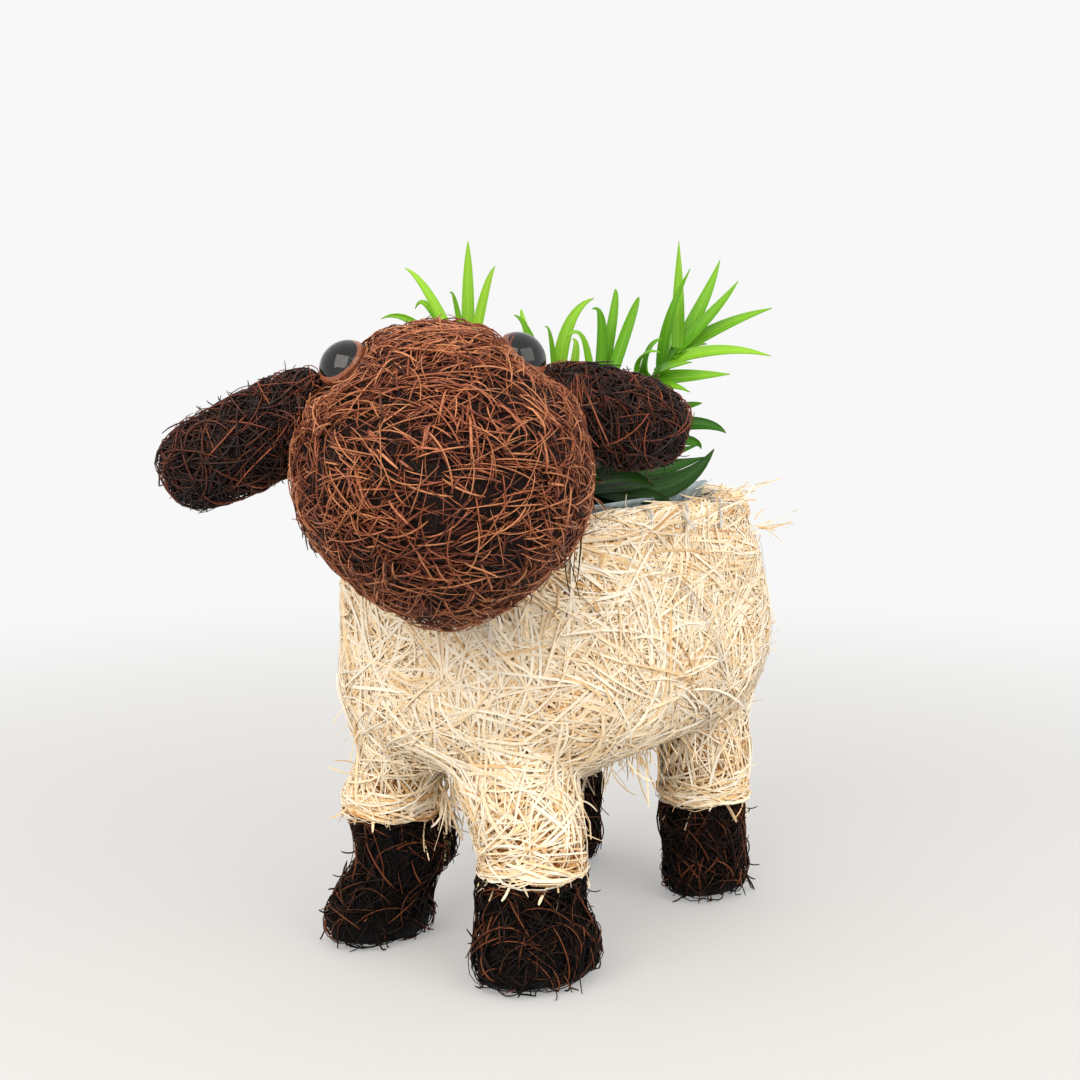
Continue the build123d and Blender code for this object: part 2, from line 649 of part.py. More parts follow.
sprigs = {}
stems = {}
for name, row in SPRIGS.items():
    stem_x, stem_y, height, lean_x, lean_y, leaves, first, turn, low, high = row
    bend_point = Vector(stem_x, stem_y, BLOCK_TOP + height / 2)
    tip = Vector(stem_x + lean_x, stem_y + lean_y, BLOCK_TOP + height)
    stem = bent_wire(
        [(stem_x, stem_y, BLOCK_TOP - STEM_DEPTH), tuple(bend_point), tuple(tip)], STEM_BEND, STEM
    )
    stems[name] = stem
    upper_run = (tip - bend_point).normalized()
    spread = LEAF_SPREAD * height
    places = []
    for leaf in range(leaves):
        share = leaf / (leaves - 1)
        angle = radians(low + (high - low) * share)
        heading = radians(first + leaf * turn)
        at = tip - upper_run * (spread * (1 - share))
        out = Vector(cos(angle) * cos(heading), cos(angle) * sin(heading), sin(angle))
        face = Vector(-sin(angle) * cos(heading), -sin(angle) * sin(heading), cos(angle))
        places.append(Plane(at, x_dir=out, z_dir=face))
    with BuildPart() as sprig:
        add(stem)
        with Locations(*places):
            add(leaf_blade.part)
    sprigs[name] = sprig.part

# Planting block: fills the lower half of the liner and carries the stems

BLOCK_INSET = LINER_INSET + FILM + BLOCK_FIT
with BuildPart() as planting_block:
    add(tub_block(BLOCK_INSET, BLOCK_FLOOR, BLOCK_TOP, FILM_FOOT - FILM))
    for stem in stems.values():
        add(stem, mode=Mode.SUBTRACT)

# Labels and files

rim_hoop.part.label = "rim_hoop"
export_step(rim_hoop.part, "parts/rim_hoop.step")
keel_wire.part.label = "keel_wire"
export_step(keel_wire.part, "parts/keel_wire.step")
neck_wire.part.label = "neck_wire"
export_step(neck_wire.part, "parts/neck_wire.step")
body_fleece.part.label = "body_fleece"
export_step(body_fleece.part, "parts/body_fleece.step")
rim_roll.part.label = "rim_roll"
export_step(rim_roll.part, "parts/rim_roll.step")
rim_ties.part.label = "rim_ties"
export_step(rim_ties.part, "parts/rim_ties.step")
neck_fleece.part.label = "neck_fleece"
export_step(neck_fleece.part, "parts/neck_fleece.step")
head.part.label = "head"
export_step(head.part, "parts/head.step")
liner.part.label = "liner"
export_step(liner.part, "parts/liner.step")
planting_block.part.label = "planting_block"
export_step(planting_block.part, "parts/planting_block.step")

repeated = {
    **ribs,
    **{f"{pair}_leg_bow": part for pair, part in leg_bows.items()},
    **head_bows,
    **{f"{side}_ear_wire": part for side, part in ear_wires.items()},
    **{f"{leg}_leg_fleece": part for leg, part in leg_fleeces.items()},
    **{f"{leg}_boot": part for leg, part in boots.items()},
    **{f"{side}_ear": part for side, part in ears.items()},
    **{f"{side}_eye_lens": part for side, part in eye_lenses.items()},
    **{f"{side}_eye_back": part for side, part in eye_backs.items()},
    **{f"{side}_eye_washer": part for side, part in eye_washers.items()},
    **sprigs,
}
for name, part in repeated.items():
    part.label = name
    export_step(part, f"parts/{name}.step")

print("rim top", RIM_TOP, "head middle", tuple(HEAD_MIDDLE))
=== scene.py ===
# %% [markdown]
# # A sheep planter wound from straw and coir
# The real object is a wire frame wound with plant fibre: pale straw for the body and the upper legs,
# dark coconut coir for the head, the ears and the boots. A film liner sits in the open back and holds
# a few sprigs. The CAD model gives every size, so this lesson dresses its solids and never moves them.

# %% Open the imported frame
import json
import math

import bpy
import numpy as np
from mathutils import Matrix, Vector, noise
from mathutils.bvhtree import BVHTree

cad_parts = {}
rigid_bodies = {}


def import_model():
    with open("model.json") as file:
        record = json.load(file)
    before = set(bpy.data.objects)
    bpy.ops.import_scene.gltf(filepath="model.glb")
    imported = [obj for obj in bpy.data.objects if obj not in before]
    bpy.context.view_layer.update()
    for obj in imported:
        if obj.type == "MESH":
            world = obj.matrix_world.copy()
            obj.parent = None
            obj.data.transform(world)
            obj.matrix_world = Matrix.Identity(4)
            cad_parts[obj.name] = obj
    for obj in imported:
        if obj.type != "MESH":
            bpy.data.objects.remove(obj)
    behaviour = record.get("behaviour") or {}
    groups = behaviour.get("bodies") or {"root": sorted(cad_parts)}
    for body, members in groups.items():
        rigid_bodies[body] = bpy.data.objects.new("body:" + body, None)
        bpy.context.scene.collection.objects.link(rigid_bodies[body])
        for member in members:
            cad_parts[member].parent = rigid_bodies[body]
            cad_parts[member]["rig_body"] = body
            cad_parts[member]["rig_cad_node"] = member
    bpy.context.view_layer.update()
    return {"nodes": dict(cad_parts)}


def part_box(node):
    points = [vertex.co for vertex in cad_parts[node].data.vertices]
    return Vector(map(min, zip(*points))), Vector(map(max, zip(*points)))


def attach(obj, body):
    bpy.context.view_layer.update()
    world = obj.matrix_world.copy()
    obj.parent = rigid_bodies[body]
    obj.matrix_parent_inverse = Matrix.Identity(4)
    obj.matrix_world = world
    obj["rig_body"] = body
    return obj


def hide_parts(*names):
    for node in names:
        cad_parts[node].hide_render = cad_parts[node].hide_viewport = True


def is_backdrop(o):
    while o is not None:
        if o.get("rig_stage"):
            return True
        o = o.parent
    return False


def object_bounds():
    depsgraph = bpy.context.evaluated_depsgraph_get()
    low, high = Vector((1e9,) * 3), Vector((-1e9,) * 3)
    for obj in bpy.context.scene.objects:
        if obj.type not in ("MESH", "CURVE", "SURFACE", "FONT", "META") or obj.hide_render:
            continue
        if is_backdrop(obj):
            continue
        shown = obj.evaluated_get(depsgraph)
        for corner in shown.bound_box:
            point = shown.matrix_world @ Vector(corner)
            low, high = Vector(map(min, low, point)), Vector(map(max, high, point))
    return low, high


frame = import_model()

MM = 0.001
MERGE_WITHIN = 0.01 * MM  # points of loose triangles that are one point
nodes = frame["nodes"]

# %% [markdown]
# ## Small helpers
# Operators act on whatever is selected, so one helper selects a single object and another adds a
# modifier and applies it. A third copies CAD solids into one free mesh that may be reshaped.

# %% Select, apply, copy
def only(ob):
    """Leaves one object selected and active."""
    bpy.ops.object.select_all(action="DESELECT")
    ob.select_set(True)
    bpy.context.view_layer.objects.active = ob
    return ob


def applied(ob, kind, **settings):
    """Adds a modifier with its settings and applies it."""
    only(ob)
    bpy.ops.object.modifier_add(type=kind)
    modifier = ob.modifiers[-1]
    for key, value in settings.items():
        setattr(modifier, key, value)
    bpy.ops.object.modifier_apply(modifier=modifier.name)
    return ob


def joined(pieces):
    """Joins pieces into the first of them."""
    bpy.ops.object.select_all(action="DESELECT")
    for piece in pieces:
        piece.select_set(True)
    bpy.context.view_layer.objects.active = pieces[0]
    if len(pieces) > 1:
        bpy.ops.object.join()
    return bpy.context.object


def linked(name, mesh):
    """Puts a new mesh into the scene as a piece."""
    made = bpy.data.objects.new(name, mesh)
    bpy.context.scene.collection.objects.link(made)
    return made


def free_copy(name, *sources):
    """Copies CAD nodes into one mesh of their own, with the loose triangles merged."""
    copies = []
    for source in sources:
        only(nodes[source])
        bpy.ops.object.duplicate()
        copy = bpy.context.object
        bpy.ops.object.parent_clear(type="CLEAR_KEEP_TRANSFORM")
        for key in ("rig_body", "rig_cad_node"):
            del copy[key]
        copy.data.materials.clear()
        copies.append(copy)
    made = joined(copies)
    made.name = made.data.name = name
    bpy.ops.object.mode_set(mode="EDIT")
    bpy.ops.mesh.select_all(action="SELECT")
    bpy.ops.mesh.remove_doubles(threshold=MERGE_WITHIN)
    bpy.ops.object.mode_set(mode="OBJECT")
    return made


def shaded(ob, angle=None):
    """Shades a piece smooth, all over or only where faces meet under an angle."""
    only(ob)
    if angle is None:
        bpy.ops.object.shade_smooth()
    else:
        bpy.ops.object.shade_smooth_by_angle(angle=math.radians(angle))
    return ob


def finished(ob, body, material, slot, *replaced):
    """Gives a finished piece its material, its body and the CAD nodes that it stands for. The slot is not
    used.
    """
    ob.data.materials.clear()
    ob.data.materials.append(material)
    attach(ob, body)
    if replaced:
        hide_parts(*replaced)
    print(ob.name, "faces:", len(ob.data.polygons))
    return ob

# %% [markdown]
# ## Camera
# The photograph was taken from the sheep's left front, a little above the back. Three boot soles and
# the eyes fixed the place and the lens, so the camera is set from those numbers.

# %% Camera at the photograph's place
CAMERA_AT = Vector((0.5088, -0.6908, 0.3040))
CAMERA_TURN, CAMERA_DIP, CAMERA_LENS = math.radians(36.48), math.radians(7.81), 60.0

bpy.ops.object.camera_add(location=CAMERA_AT)
camera = bpy.context.object
camera.data.lens, camera.data.sensor_width = CAMERA_LENS, 36.0
view_back = Vector((
    math.sin(CAMERA_TURN) * math.cos(CAMERA_DIP),
    -math.cos(CAMERA_TURN) * math.cos(CAMERA_DIP),
    math.sin(CAMERA_DIP),
))
camera.rotation_mode = "QUATERNION"
camera.rotation_quaternion = (-view_back).to_track_quat("-Z", "Y")
camera.data.clip_start, camera.data.clip_end = 0.01, 50.0
bpy.context.scene.camera = camera
bpy.context.scene.view_settings.view_transform = "Standard"
view_right = Vector((math.cos(CAMERA_TURN), math.sin(CAMERA_TURN), 0.0))
print("camera", tuple(round(x, 3) for x in CAMERA_AT))

# %% [markdown]
# ## Colours and nodes
# Colours are written as they look on screen, in sRGB hex, and turned to linear light once. One helper
# adds a node with its settings, its inputs and, for a colour ramp, its stops.

# %% To linear, and one node
def linear(hex_colour):
    """sRGB hex to a linear RGBA colour."""
    parts = [int(hex_colour[i:i + 2], 16) / 255 for i in (1, 3, 5)]
    return [p / 12.92 if p <= 0.04045 else ((p + 0.055) / 1.055) ** 2.4 for p in parts] + [1.0]


def node(tree, kind, inputs=None, stops=(), **settings):
    """Adds a node. An input is a value or another node's output; stops are a ramp's (place, hex)."""
    made = tree.nodes.new(kind)
    for key, value in settings.items():
        setattr(made, key, value)
    for key, value in (inputs or {}).items():
        if isinstance(value, bpy.types.NodeSocket):
            tree.links.new(value, made.inputs[key])
        else:
            made.inputs[key].default_value = value
    for i, (place, colour) in enumerate(stops):
        ramp = made.color_ramp.elements
        stop = ramp[i] if i < len(ramp) else ramp.new(place)
        stop.position, stop.color = place, linear(colour)
    return made


def new_material(name):
    """A material with its node tree and its main shader."""
    material = bpy.data.materials.new(name)
    material.use_nodes = True
    return material, material.node_tree, material.node_tree.nodes["Principled BSDF"]

# %% [markdown]
# ## Floor, lamps and world
# The photograph has a pale floor that runs into a white backdrop and soft light from the front left.
# The floor is one wide disc. Near the sheep it is mostly a real matt surface that takes the shadows, and
# further out it fades to plain white, which only the camera, reflections and clear plastic see.

# %% Floor disc
FLOOR_FADE_FROM, FLOOR_FADE_TO = 0.28, 1.00
bpy.ops.mesh.primitive_circle_add(vertices=96, radius=12.0, fill_type="NGON", location=(0, 0, 0))
floor = bpy.context.object
floor.name = "floor"
paper, tree, shader = new_material("matt_white_card")
shader.inputs["Base Color"].default_value = linear("#C6C5C3")
shader.inputs["Roughness"].default_value = 0.9
shader.inputs["Specular IOR Level"].default_value = 0.1
place = node(tree, "ShaderNodeTexCoord")
reach = node(tree, "ShaderNodeVectorMath", {0: place.outputs["Object"]}, operation="LENGTH")
fade = node(tree, "ShaderNodeMapRange", {
    "Value": reach.outputs["Value"], "From Min": FLOOR_FADE_FROM, "From Max": FLOOR_FADE_TO, "To Min": 0.3,
}, interpolation_type="SMOOTHSTEP")
path = node(tree, "ShaderNodeLightPath")
seen = node(tree, "ShaderNodeMath", {
    0: path.outputs["Is Camera Ray"], 1: path.outputs["Is Glossy Ray"]}, operation="MAXIMUM")
seen = node(tree, "ShaderNodeMath", {
    0: seen.outputs["Value"], 1: path.outputs["Is Transmission Ray"]}, operation="MAXIMUM")
white = node(tree, "ShaderNodeEmission", {
    "Color": linear("#F8F8F8"), "Strength": seen.outputs["Value"]})
mix = node(tree, "ShaderNodeMixShader", {
    0: fade.outputs["Result"], 1: shader.outputs["BSDF"], 2: white.outputs["Emission"]})
tree.links.new(mix.outputs["Shader"], tree.nodes["Material Output"].inputs["Surface"])
floor.data.materials.append(paper)
floor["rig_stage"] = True
print("floor fades to white from", FLOOR_FADE_FROM, "to", FLOOR_FADE_TO, "m")

# %% World and two soft lamps
WORLD_LIGHT = 1.05
world = bpy.data.worlds.new("white_room")
bpy.context.scene.world = world
world.use_nodes = True
tree = world.node_tree
path = node(tree, "ShaderNodeLightPath")
seen = node(tree, "ShaderNodeMath", {
    0: path.outputs["Is Camera Ray"], 1: path.outputs["Is Glossy Ray"]}, operation="MAXIMUM")
seen = node(tree, "ShaderNodeMath", {
    0: seen.outputs["Value"], 1: path.outputs["Is Transmission Ray"]}, operation="MAXIMUM")
strength = node(tree, "ShaderNodeMapRange", {
    "Value": seen.outputs["Value"], "To Min": WORLD_LIGHT, "To Max": 1.0})
tree.links.new(strength.outputs["Result"], tree.nodes["Background"].inputs["Strength"])
tree.nodes["Background"].inputs["Color"].default_value = linear("#F8F8F8")

AIM = Vector((0.0, 0.0, 0.16))
LAMPS = {
    # name: reach towards the camera, to the left of it and up, in metres; size, watts, colour
    "key_lamp": (1.10, 0.60, 0.85, 1.2, 16.2, "#FFF7EC"),
    "fill_lamp": (0.9, -0.9, 0.7, 1.2, 9.0, "#FFF9F0"),
}
for name, (ahead, left, rise, size, watts, colour) in LAMPS.items():
    at = AIM + Vector((view_back.x, view_back.y, 0)) * ahead - view_right * left + Vector((0, 0, rise))
    bpy.ops.object.light_add(type="AREA", location=at)
    lamp = bpy.context.object
    lamp.name, lamp.data.name = name, name
    lamp.data.size, lamp.data.energy, lamp.data.color = size, watts, linear(colour)[:3]
    lamp.rotation_mode = "QUATERNION"
    lamp.rotation_quaternion = (AIM - at).to_track_quat("-Z", "Y")
    print(name, "at", tuple(round(x, 2) for x in at))

# %% [markdown]
# ## Fibre finishes
# Straw here is shredded palm leaf: flat, dry, pale strips with a faint grain. Coir is the wiry husk
# fibre of the coconut, dark red brown with a dull shine, and the boots are dyed nearly black. Every
# strand carries its own tone, from 0 to 1, in an attribute that a colour ramp reads. The tone differs at
# random, and strands that lie deeper in the mat get a darker tone and those on top a lighter one, which
# is painted shade and light. A fine noise shifts the tone a little, so that a strand isn't one flat colour.

# %% Strands of straw and coir
FIBRES = {
    # name: ramp stops by tone, roughness, shine
    "straw_strands": (
        ((0.0, "#A4662B"), (0.3, "#E3B578"), (0.6, "#F9DFB4"), (1.0, "#FFF5E2")), 0.6, 0.25),
    "coir_strands": (
        ((0.0, "#090302"), (0.3, "#2E130B"), (0.6, "#74371F"), (0.85, "#A35C39"), (1.0, "#C07E54")),
        0.5, 0.4),
    "boot_coir_strands": (
        ((0.0, "#010000"), (0.5, "#0A0503"), (0.75, "#28140B"), (1.0, "#744127")), 0.55, 0.15),
    "nylon_threads": (((0.0, "#E9E6E2"), (1.0, "#FBFAF8")), 0.35, 0.5),
}
GRAIN_MM = 1.6  # length of the streaks along a strand
fibre = {}
for name, (stops, roughness, shine) in FIBRES.items():
    fibre[name], tree, shader = new_material(name)
    tone = node(tree, "ShaderNodeAttribute", attribute_name="tone")
    place = node(tree, "ShaderNodeTexCoord")
    streak = node(tree, "ShaderNodeTexNoise", {
        "Vector": place.outputs["Object"], "Scale": 1 / (GRAIN_MM * MM), "Detail": 2.0})
    shift = node(tree, "ShaderNodeMapRange", {
        "Value": streak.outputs["Fac"], "From Min": 0.3, "From Max": 0.7, "To Min": -0.09, "To Max": 0.09})
    total = node(tree, "ShaderNodeMath", {
        0: tone.outputs["Fac"], 1: shift.outputs["Result"]}, operation="ADD")
    ramp = node(tree, "ShaderNodeValToRGB", {"Fac": total.outputs["Value"]}, stops)
    tree.links.new(ramp.outputs["Color"], shader.inputs["Base Color"])
    dull = node(tree, "ShaderNodeMapRange", {
        "Value": streak.outputs["Fac"], "From Min": 0.3, "From Max": 0.7,
        "To Min": roughness - 0.1, "To Max": roughness + 0.12})
    tree.links.new(dull.outputs["Result"], shader.inputs["Roughness"])
    shader.inputs["Specular IOR Level"].default_value = shine
print("strand materials:", sorted(fibre))

# %% [markdown]
# Under the strands lies the imported mat. Through the gaps it must still look like fibre, so three
# noises, each drawn out along its own direction, are laid over each other: the highest wins, which
# gives crossing streaks as wide and as long as real strands. The mat's colours are darker than the
# strands', and where the streaks sink they turn darker still, which is painted shade under the strands.

# %% Mats under the strands
MATS = {
    # name: colours from the painted shade in the gaps to the fibres, width and length of a fibre in
    # millimetres
    "straw_mat": (("#7E4618", "#C68C4B", "#EBC58D"), 1.4, 22),
    "coir_mat": (("#040201", "#180A06", "#43210F"), 0.8, 12),
    "boot_coir_mat": (("#010101", "#070403", "#190D08"), 0.9, 14),
}
STREAK_TURNS = ((0.3, 0.2, 0.0), (1.3, 0.9, 0.5), (0.7, -1.1, 1.9))
for name, ((gap_shade, middle, top), width, length) in MATS.items():
    fibre[name], tree, shader = new_material(name)
    place = node(tree, "ShaderNodeTexCoord")
    height = None
    for turn in STREAK_TURNS:
        along = node(tree, "ShaderNodeMapping", {
            "Vector": place.outputs["Object"], "Rotation": turn,
            "Scale": (width * MM, width * MM, length * MM)}, vector_type="TEXTURE")
        streak = node(tree, "ShaderNodeTexNoise", {
            "Vector": along.outputs["Vector"], "Scale": 1.0, "Detail": 2.0, "Distortion": 0.4})
        height = streak.outputs["Fac"] if height is None else node(tree, "ShaderNodeMath", {
            0: height, 1: streak.outputs["Fac"]}, operation="MAXIMUM").outputs["Value"]
    # the first stop is painted shade in the gaps between the streaks
    ramp = node(tree, "ShaderNodeValToRGB", {"Fac": height}, ((0.5, gap_shade), (0.6, middle), (0.75, top)))
    tree.links.new(ramp.outputs["Color"], shader.inputs["Base Color"])
    relief = node(tree, "ShaderNodeBump", {"Height": height, "Strength": 0.9, "Distance": 2 * width * MM})
    tree.links.new(relief.outputs["Normal"], shader.inputs["Normal"])
    shader.inputs["Roughness"].default_value = 0.75
    shader.inputs["Specular IOR Level"].default_value = 0.2
print("mat materials:", sorted(MATS))

# %% [markdown]
# ## Strands
# No modifier lays thousands of stiff strands over a form, so this is mesh code. A strand starts at an
# even random place, walks over the form in a gentle arc and is pulled back to the surface at every
# step. Its height over the form bows up in the middle and dives at the ends, so that strands cross
# over and under each other. Each becomes a thin closed strand of a few dozen faces: a flat ribbon for
# straw, a three-sided wire for coir.

# %% A form and its triangles
def surface_of(ob):
    """A form's triangles, their areas and a search tree over them."""
    mesh = ob.data
    mesh.calc_loop_triangles()
    points = np.empty(len(mesh.vertices) * 3)
    mesh.vertices.foreach_get("co", points)
    points = points.reshape(-1, 3)
    corners = np.empty(len(mesh.loop_triangles) * 3, np.int32)
    mesh.loop_triangles.foreach_get("vertices", corners)
    corners = corners.reshape(-1, 3)
    a, b, c = (points[corners[:, i]] for i in range(3))
    cross = np.cross(b - a, c - a)
    twice = np.linalg.norm(cross, axis=1)
    return {
        "tree": BVHTree.FromPolygons(points.tolist(), corners.tolist()),
        "a": a, "b": b, "c": c, "area": twice / 2, "facing": cross / np.maximum(twice, 1e-20)[:, None],
    }

# %% Even places and headings on a form
OFF_FORM, OPEN_AIR = 0.6 * MM, 15 * MM


def places_on(surface, count, rng, keep=None):
    """Even random places on a form, with the way that it faces there. Inner faces are passed over."""
    at, facing = [], []
    share = surface["area"] / surface["area"].sum()
    while len(at) < count:
        pick = rng.choice(len(share), size=count, p=share)
        u, v = rng.random(count), rng.random(count)
        over = u + v > 1
        u[over], v[over] = 1 - u[over], 1 - v[over]
        spots = (surface["a"][pick] + u[:, None] * (surface["b"][pick] - surface["a"][pick])
                 + v[:, None] * (surface["c"][pick] - surface["a"][pick]))
        ways = surface["facing"][pick]
        good = np.ones(count, bool) if keep is None else keep(spots, ways)
        for spot, way in zip(spots[good], ways[good]):
            start = Vector(spot + way * OFF_FORM)
            if surface["tree"].ray_cast(start, Vector(way), OPEN_AIR)[0] is None:
                at.append(spot)
                facing.append(way)
    return np.array(at[:count]), np.array(facing[:count])


def unit(vectors):
    """Vectors made one long."""
    return vectors / np.maximum(np.linalg.norm(vectors, axis=-1, keepdims=True), 1e-12)


def headed(facing, angle):
    """A direction in the surface, at an angle up from level."""
    level = np.cross(np.array((0.0, 0.0, 1.0)), facing)
    flat = np.linalg.norm(level, axis=1) < 0.15
    level[flat] = np.cross(np.array((0.0, 1.0, 0.0)), facing[flat])
    level = unit(level)
    rise = np.cross(facing, level)
    return level * np.cos(angle)[:, None] + rise * np.sin(angle)[:, None]

# %% Walk over the form
def walked(surface, at, heading, length, bend, points):
    """Strand lines on a form and the way it faces along them. bend turns the heading, in radians in all."""
    tree, count = surface["tree"], len(at)
    line, up = np.empty((count, points, 3)), np.empty((count, points, 3))
    spot, ahead = at.copy(), heading.copy()
    step = (length / (points - 1))[:, None]
    turn = bend / (points - 1)
    for i in range(points):
        for s in range(count):
            hit, way, _, _ = tree.find_nearest(spot[s])
            line[s, i], up[s, i] = hit, way
        ahead = unit(ahead - up[:, i] * np.sum(ahead * up[:, i], axis=1, keepdims=True))
        side = np.cross(up[:, i], ahead)
        ahead = ahead * np.cos(turn)[:, None] + side * np.sin(turn)[:, None]
        spot = line[:, i] + ahead * step
    up[:, 1:-1] = up[:, :-2] + up[:, 1:-1] + up[:, 2:]
    return line, unit(up)

# %% Lift the lines off the form
def lifted(line, up, base, bow, dive, fly=None):
    """Raises strand lines off the form: a base height, a bow in the middle, ends that dive or fly."""
    t = np.linspace(0.0, 1.0, line.shape[1])
    height = base[:, None] + bow[:, None] * np.sin(math.pi * t) - dive[:, None] * np.abs(2 * t - 1) ** 5
    if fly is not None:
        height = height + fly[:, None] * np.clip((t - 0.45) / 0.55, 0, 1) ** 2
    return line + up * height[:, :, None]

# %% Give the lines a body
def strand_mesh(name, line, up, width, thick, roll, twist, tone, sides):
    """One mesh of closed strands along the lines: with four sides flat crisp ribbons, else round wires."""
    count, points = line.shape[:2]
    along = unit(np.gradient(line, axis=1))
    across = unit(np.cross(up, along))
    rise = np.cross(along, across)
    t = np.linspace(0.0, 1.0, points)
    angle = roll[:, None] + twist[:, None] * (t - 0.5)
    cosine, sine = np.cos(angle)[:, :, None], np.sin(angle)[:, :, None]
    flat, edge = across * cosine + rise * sine, rise * cosine - across * sine
    taper = 1 - 0.45 * np.abs(2 * t - 1) ** 6
    ribbon = sides == 4
    ring = (np.arange(sides) + 0.5 * ribbon) * 2 * math.pi / sides
    half_width = (width[:, None] / 2 * taper)[:, :, None, None]
    half_thick = (thick[:, None] / 2 * taper)[:, :, None, None]
    body = (line[:, :, None, :] + flat[:, :, None, :] * half_width * np.cos(ring)[:, None]
            + edge[:, :, None, :] * half_thick * np.sin(ring)[:, None])
    first = (np.arange(count) * points * sides)[:, None, None]
    i, j = np.arange(points - 1)[:, None], np.arange(sides)[None, :]
    after = (j + 1) % sides
    quads = np.stack([i * sides + j, i * sides + after, (i + 1) * sides + after, (i + 1) * sides + j], -1)
    quads = (quads.reshape(1, -1, 4) + first).reshape(-1)
    caps = np.stack([np.arange(sides)[::-1], (points - 1) * sides + np.arange(sides)])
    caps = (caps[None] + first).reshape(-1)
    quad_count, cap_count = count * (points - 1) * sides, count * 2
    sizes = np.concatenate([np.full(quad_count, 4), np.full(cap_count, sides)])
    mesh = bpy.data.meshes.new(name)
    mesh.vertices.add(count * points * sides)
    mesh.vertices.foreach_set("co", body.reshape(-1).astype(np.float32))
    mesh.loops.add(len(quads) + len(caps))
    mesh.loops.foreach_set("vertex_index", np.concatenate([quads, caps]).astype(np.int32))
    mesh.polygons.add(len(sizes))
    mesh.polygons.foreach_set("loop_start", np.concatenate([[0], np.cumsum(sizes)[:-1]]).astype(np.int32))
    mesh.polygons.foreach_set("use_smooth", np.full(len(sizes), not ribbon))
    mesh.update(calc_edges=True)
    shade = mesh.attributes.new("tone", "FLOAT", "POINT")
    shade.data.foreach_set("value", np.repeat(tone, points * sides).astype(np.float32))
    columns = int(math.ceil(math.sqrt(count)))
    cell = np.stack([np.arange(count) % columns, np.arange(count) // columns], -1)
    u0, v0 = (j + 0 * i) / sides, (i + 0 * j) / points
    du, dv = 1 / sides, 1 / points
    turns = ((0, 0), (1, 0), (1, 1), (0, 1))
    corner = np.stack([np.stack([u0 + a * du, v0 + b * dv], -1) for a, b in turns], 2)
    quad_map = corner.reshape(1, -1, 2) * 0.9 + 0.05 + cell[:, None, :]
    cap_ring = np.stack([0.5 + 0.2 * np.cos(ring), 0.5 + 0.2 * np.sin(ring)], -1)
    cap_place = np.concatenate([cap_ring * [0.9, 0.06] + [0.05, 0.9], cap_ring * [0.9, 0.06] + [0.05, 0.9]])
    cap_map = cap_place[None] + cell[:, None, :]
    layer = mesh.uv_layers.new(name="OFBake", do_init=False)
    layer.uv.foreach_set("vector", (np.concatenate(
        [quad_map.reshape(-1), cap_map.reshape(-1)]) / columns).astype(np.float32))
    return linked(name, mesh)

# %% [markdown]
# A winder's hand lays several strands side by side, so part of the strands follow a leader: they start
# beside it and keep nearly its heading and its bend. Loose ends are another kind: they leave the form,
# curl about a random axis and sag.

# %% Lay strands
FLOOR_CLEAR = 0.9 * MM
BEND_OVER = 50 * MM  # a kind's bend is the spread of its turn over this length, in radians
FOLLOW_AHEAD, FOLLOW_TURN, FOLLOW_BEND = 9.0, 0.09, 0.12  # spread of followers: mm, radians, radians


def fibres(name, surface, count, seed, spec, angle, keep=None, length=None, clear=None):
    """Strands of one kind on a form: picks the places, walks, lifts and builds them."""
    rng = np.random.default_rng(seed)
    at, facing = places_on(surface, count, rng, keep)
    turn = angle(rng, at, facing)
    low, high = length or spec["length"]
    reach = rng.uniform(low, high, count) * MM
    bend = rng.normal(0.0, spec["bend"], count) * reach / BEND_OVER
    row = np.arange(count)
    leader = np.where(rng.random(count) < spec["bundled"], row - row % spec["bundle"], row)
    follows = (leader != row)[:, None]
    side = headed(facing, turn + math.pi / 2)
    along = headed(facing, turn)
    beside = rng.normal(0, spec["apart"], (count, 1)) * MM
    ahead = rng.normal(0, FOLLOW_AHEAD, (count, 1)) * MM
    at = np.where(follows, at[leader] + side[leader] * beside + along[leader] * ahead, at)
    facing = facing[leader]
    turn = np.where(follows[:, 0], turn[leader] + rng.normal(0, FOLLOW_TURN, count), turn)
    bend = np.where(follows[:, 0], bend[leader] + rng.normal(0, FOLLOW_BEND, count), bend)
    line, up = walked(surface, at, headed(facing, turn), reach, bend, spec["points"])
    deep = rng.random(count)
    base = (spec["low"] + (spec["high"] - spec["low"]) * deep) * MM
    bow = rng.uniform(0.0, spec["bow"], count) * MM
    dive = rng.uniform(0.2, 1.0, count) * spec["dive"] * MM
    fly = np.where(rng.random(count) < spec["loose"], rng.uniform(0.25, 1.0, count) * spec["fly"], 0) * MM
    fly *= np.where(deep > 0.35, 1, 0)
    line = lifted(line, up, base, bow, dive, fly)
    line[..., 2] = np.maximum(line[..., 2], FLOOR_CLEAR)
    thin, broad = spec["width"]
    width = (thin + (broad - thin) * rng.random(count) ** 1.4) * MM
    thick = width * rng.uniform(*spec["flat"], count)
    roll, twist = rng.normal(0, spec["roll"], count), rng.normal(0, spec["twist"], count)
    # lift: a deeper strand gets a darker tone, painted shade; the normal draw is tone that differs at
    # random
    tone = np.clip(spec["tone"] + spec["lift"] * (deep - 0.5) + rng.normal(0, spec["vary"], count), 0, 1)
    kept = np.ones(count, bool) if clear is None else clear(line)
    parts = (part[kept] for part in (line, up, width, thick, roll, twist, tone))
    return strand_mesh(name, *parts, spec["sides"])

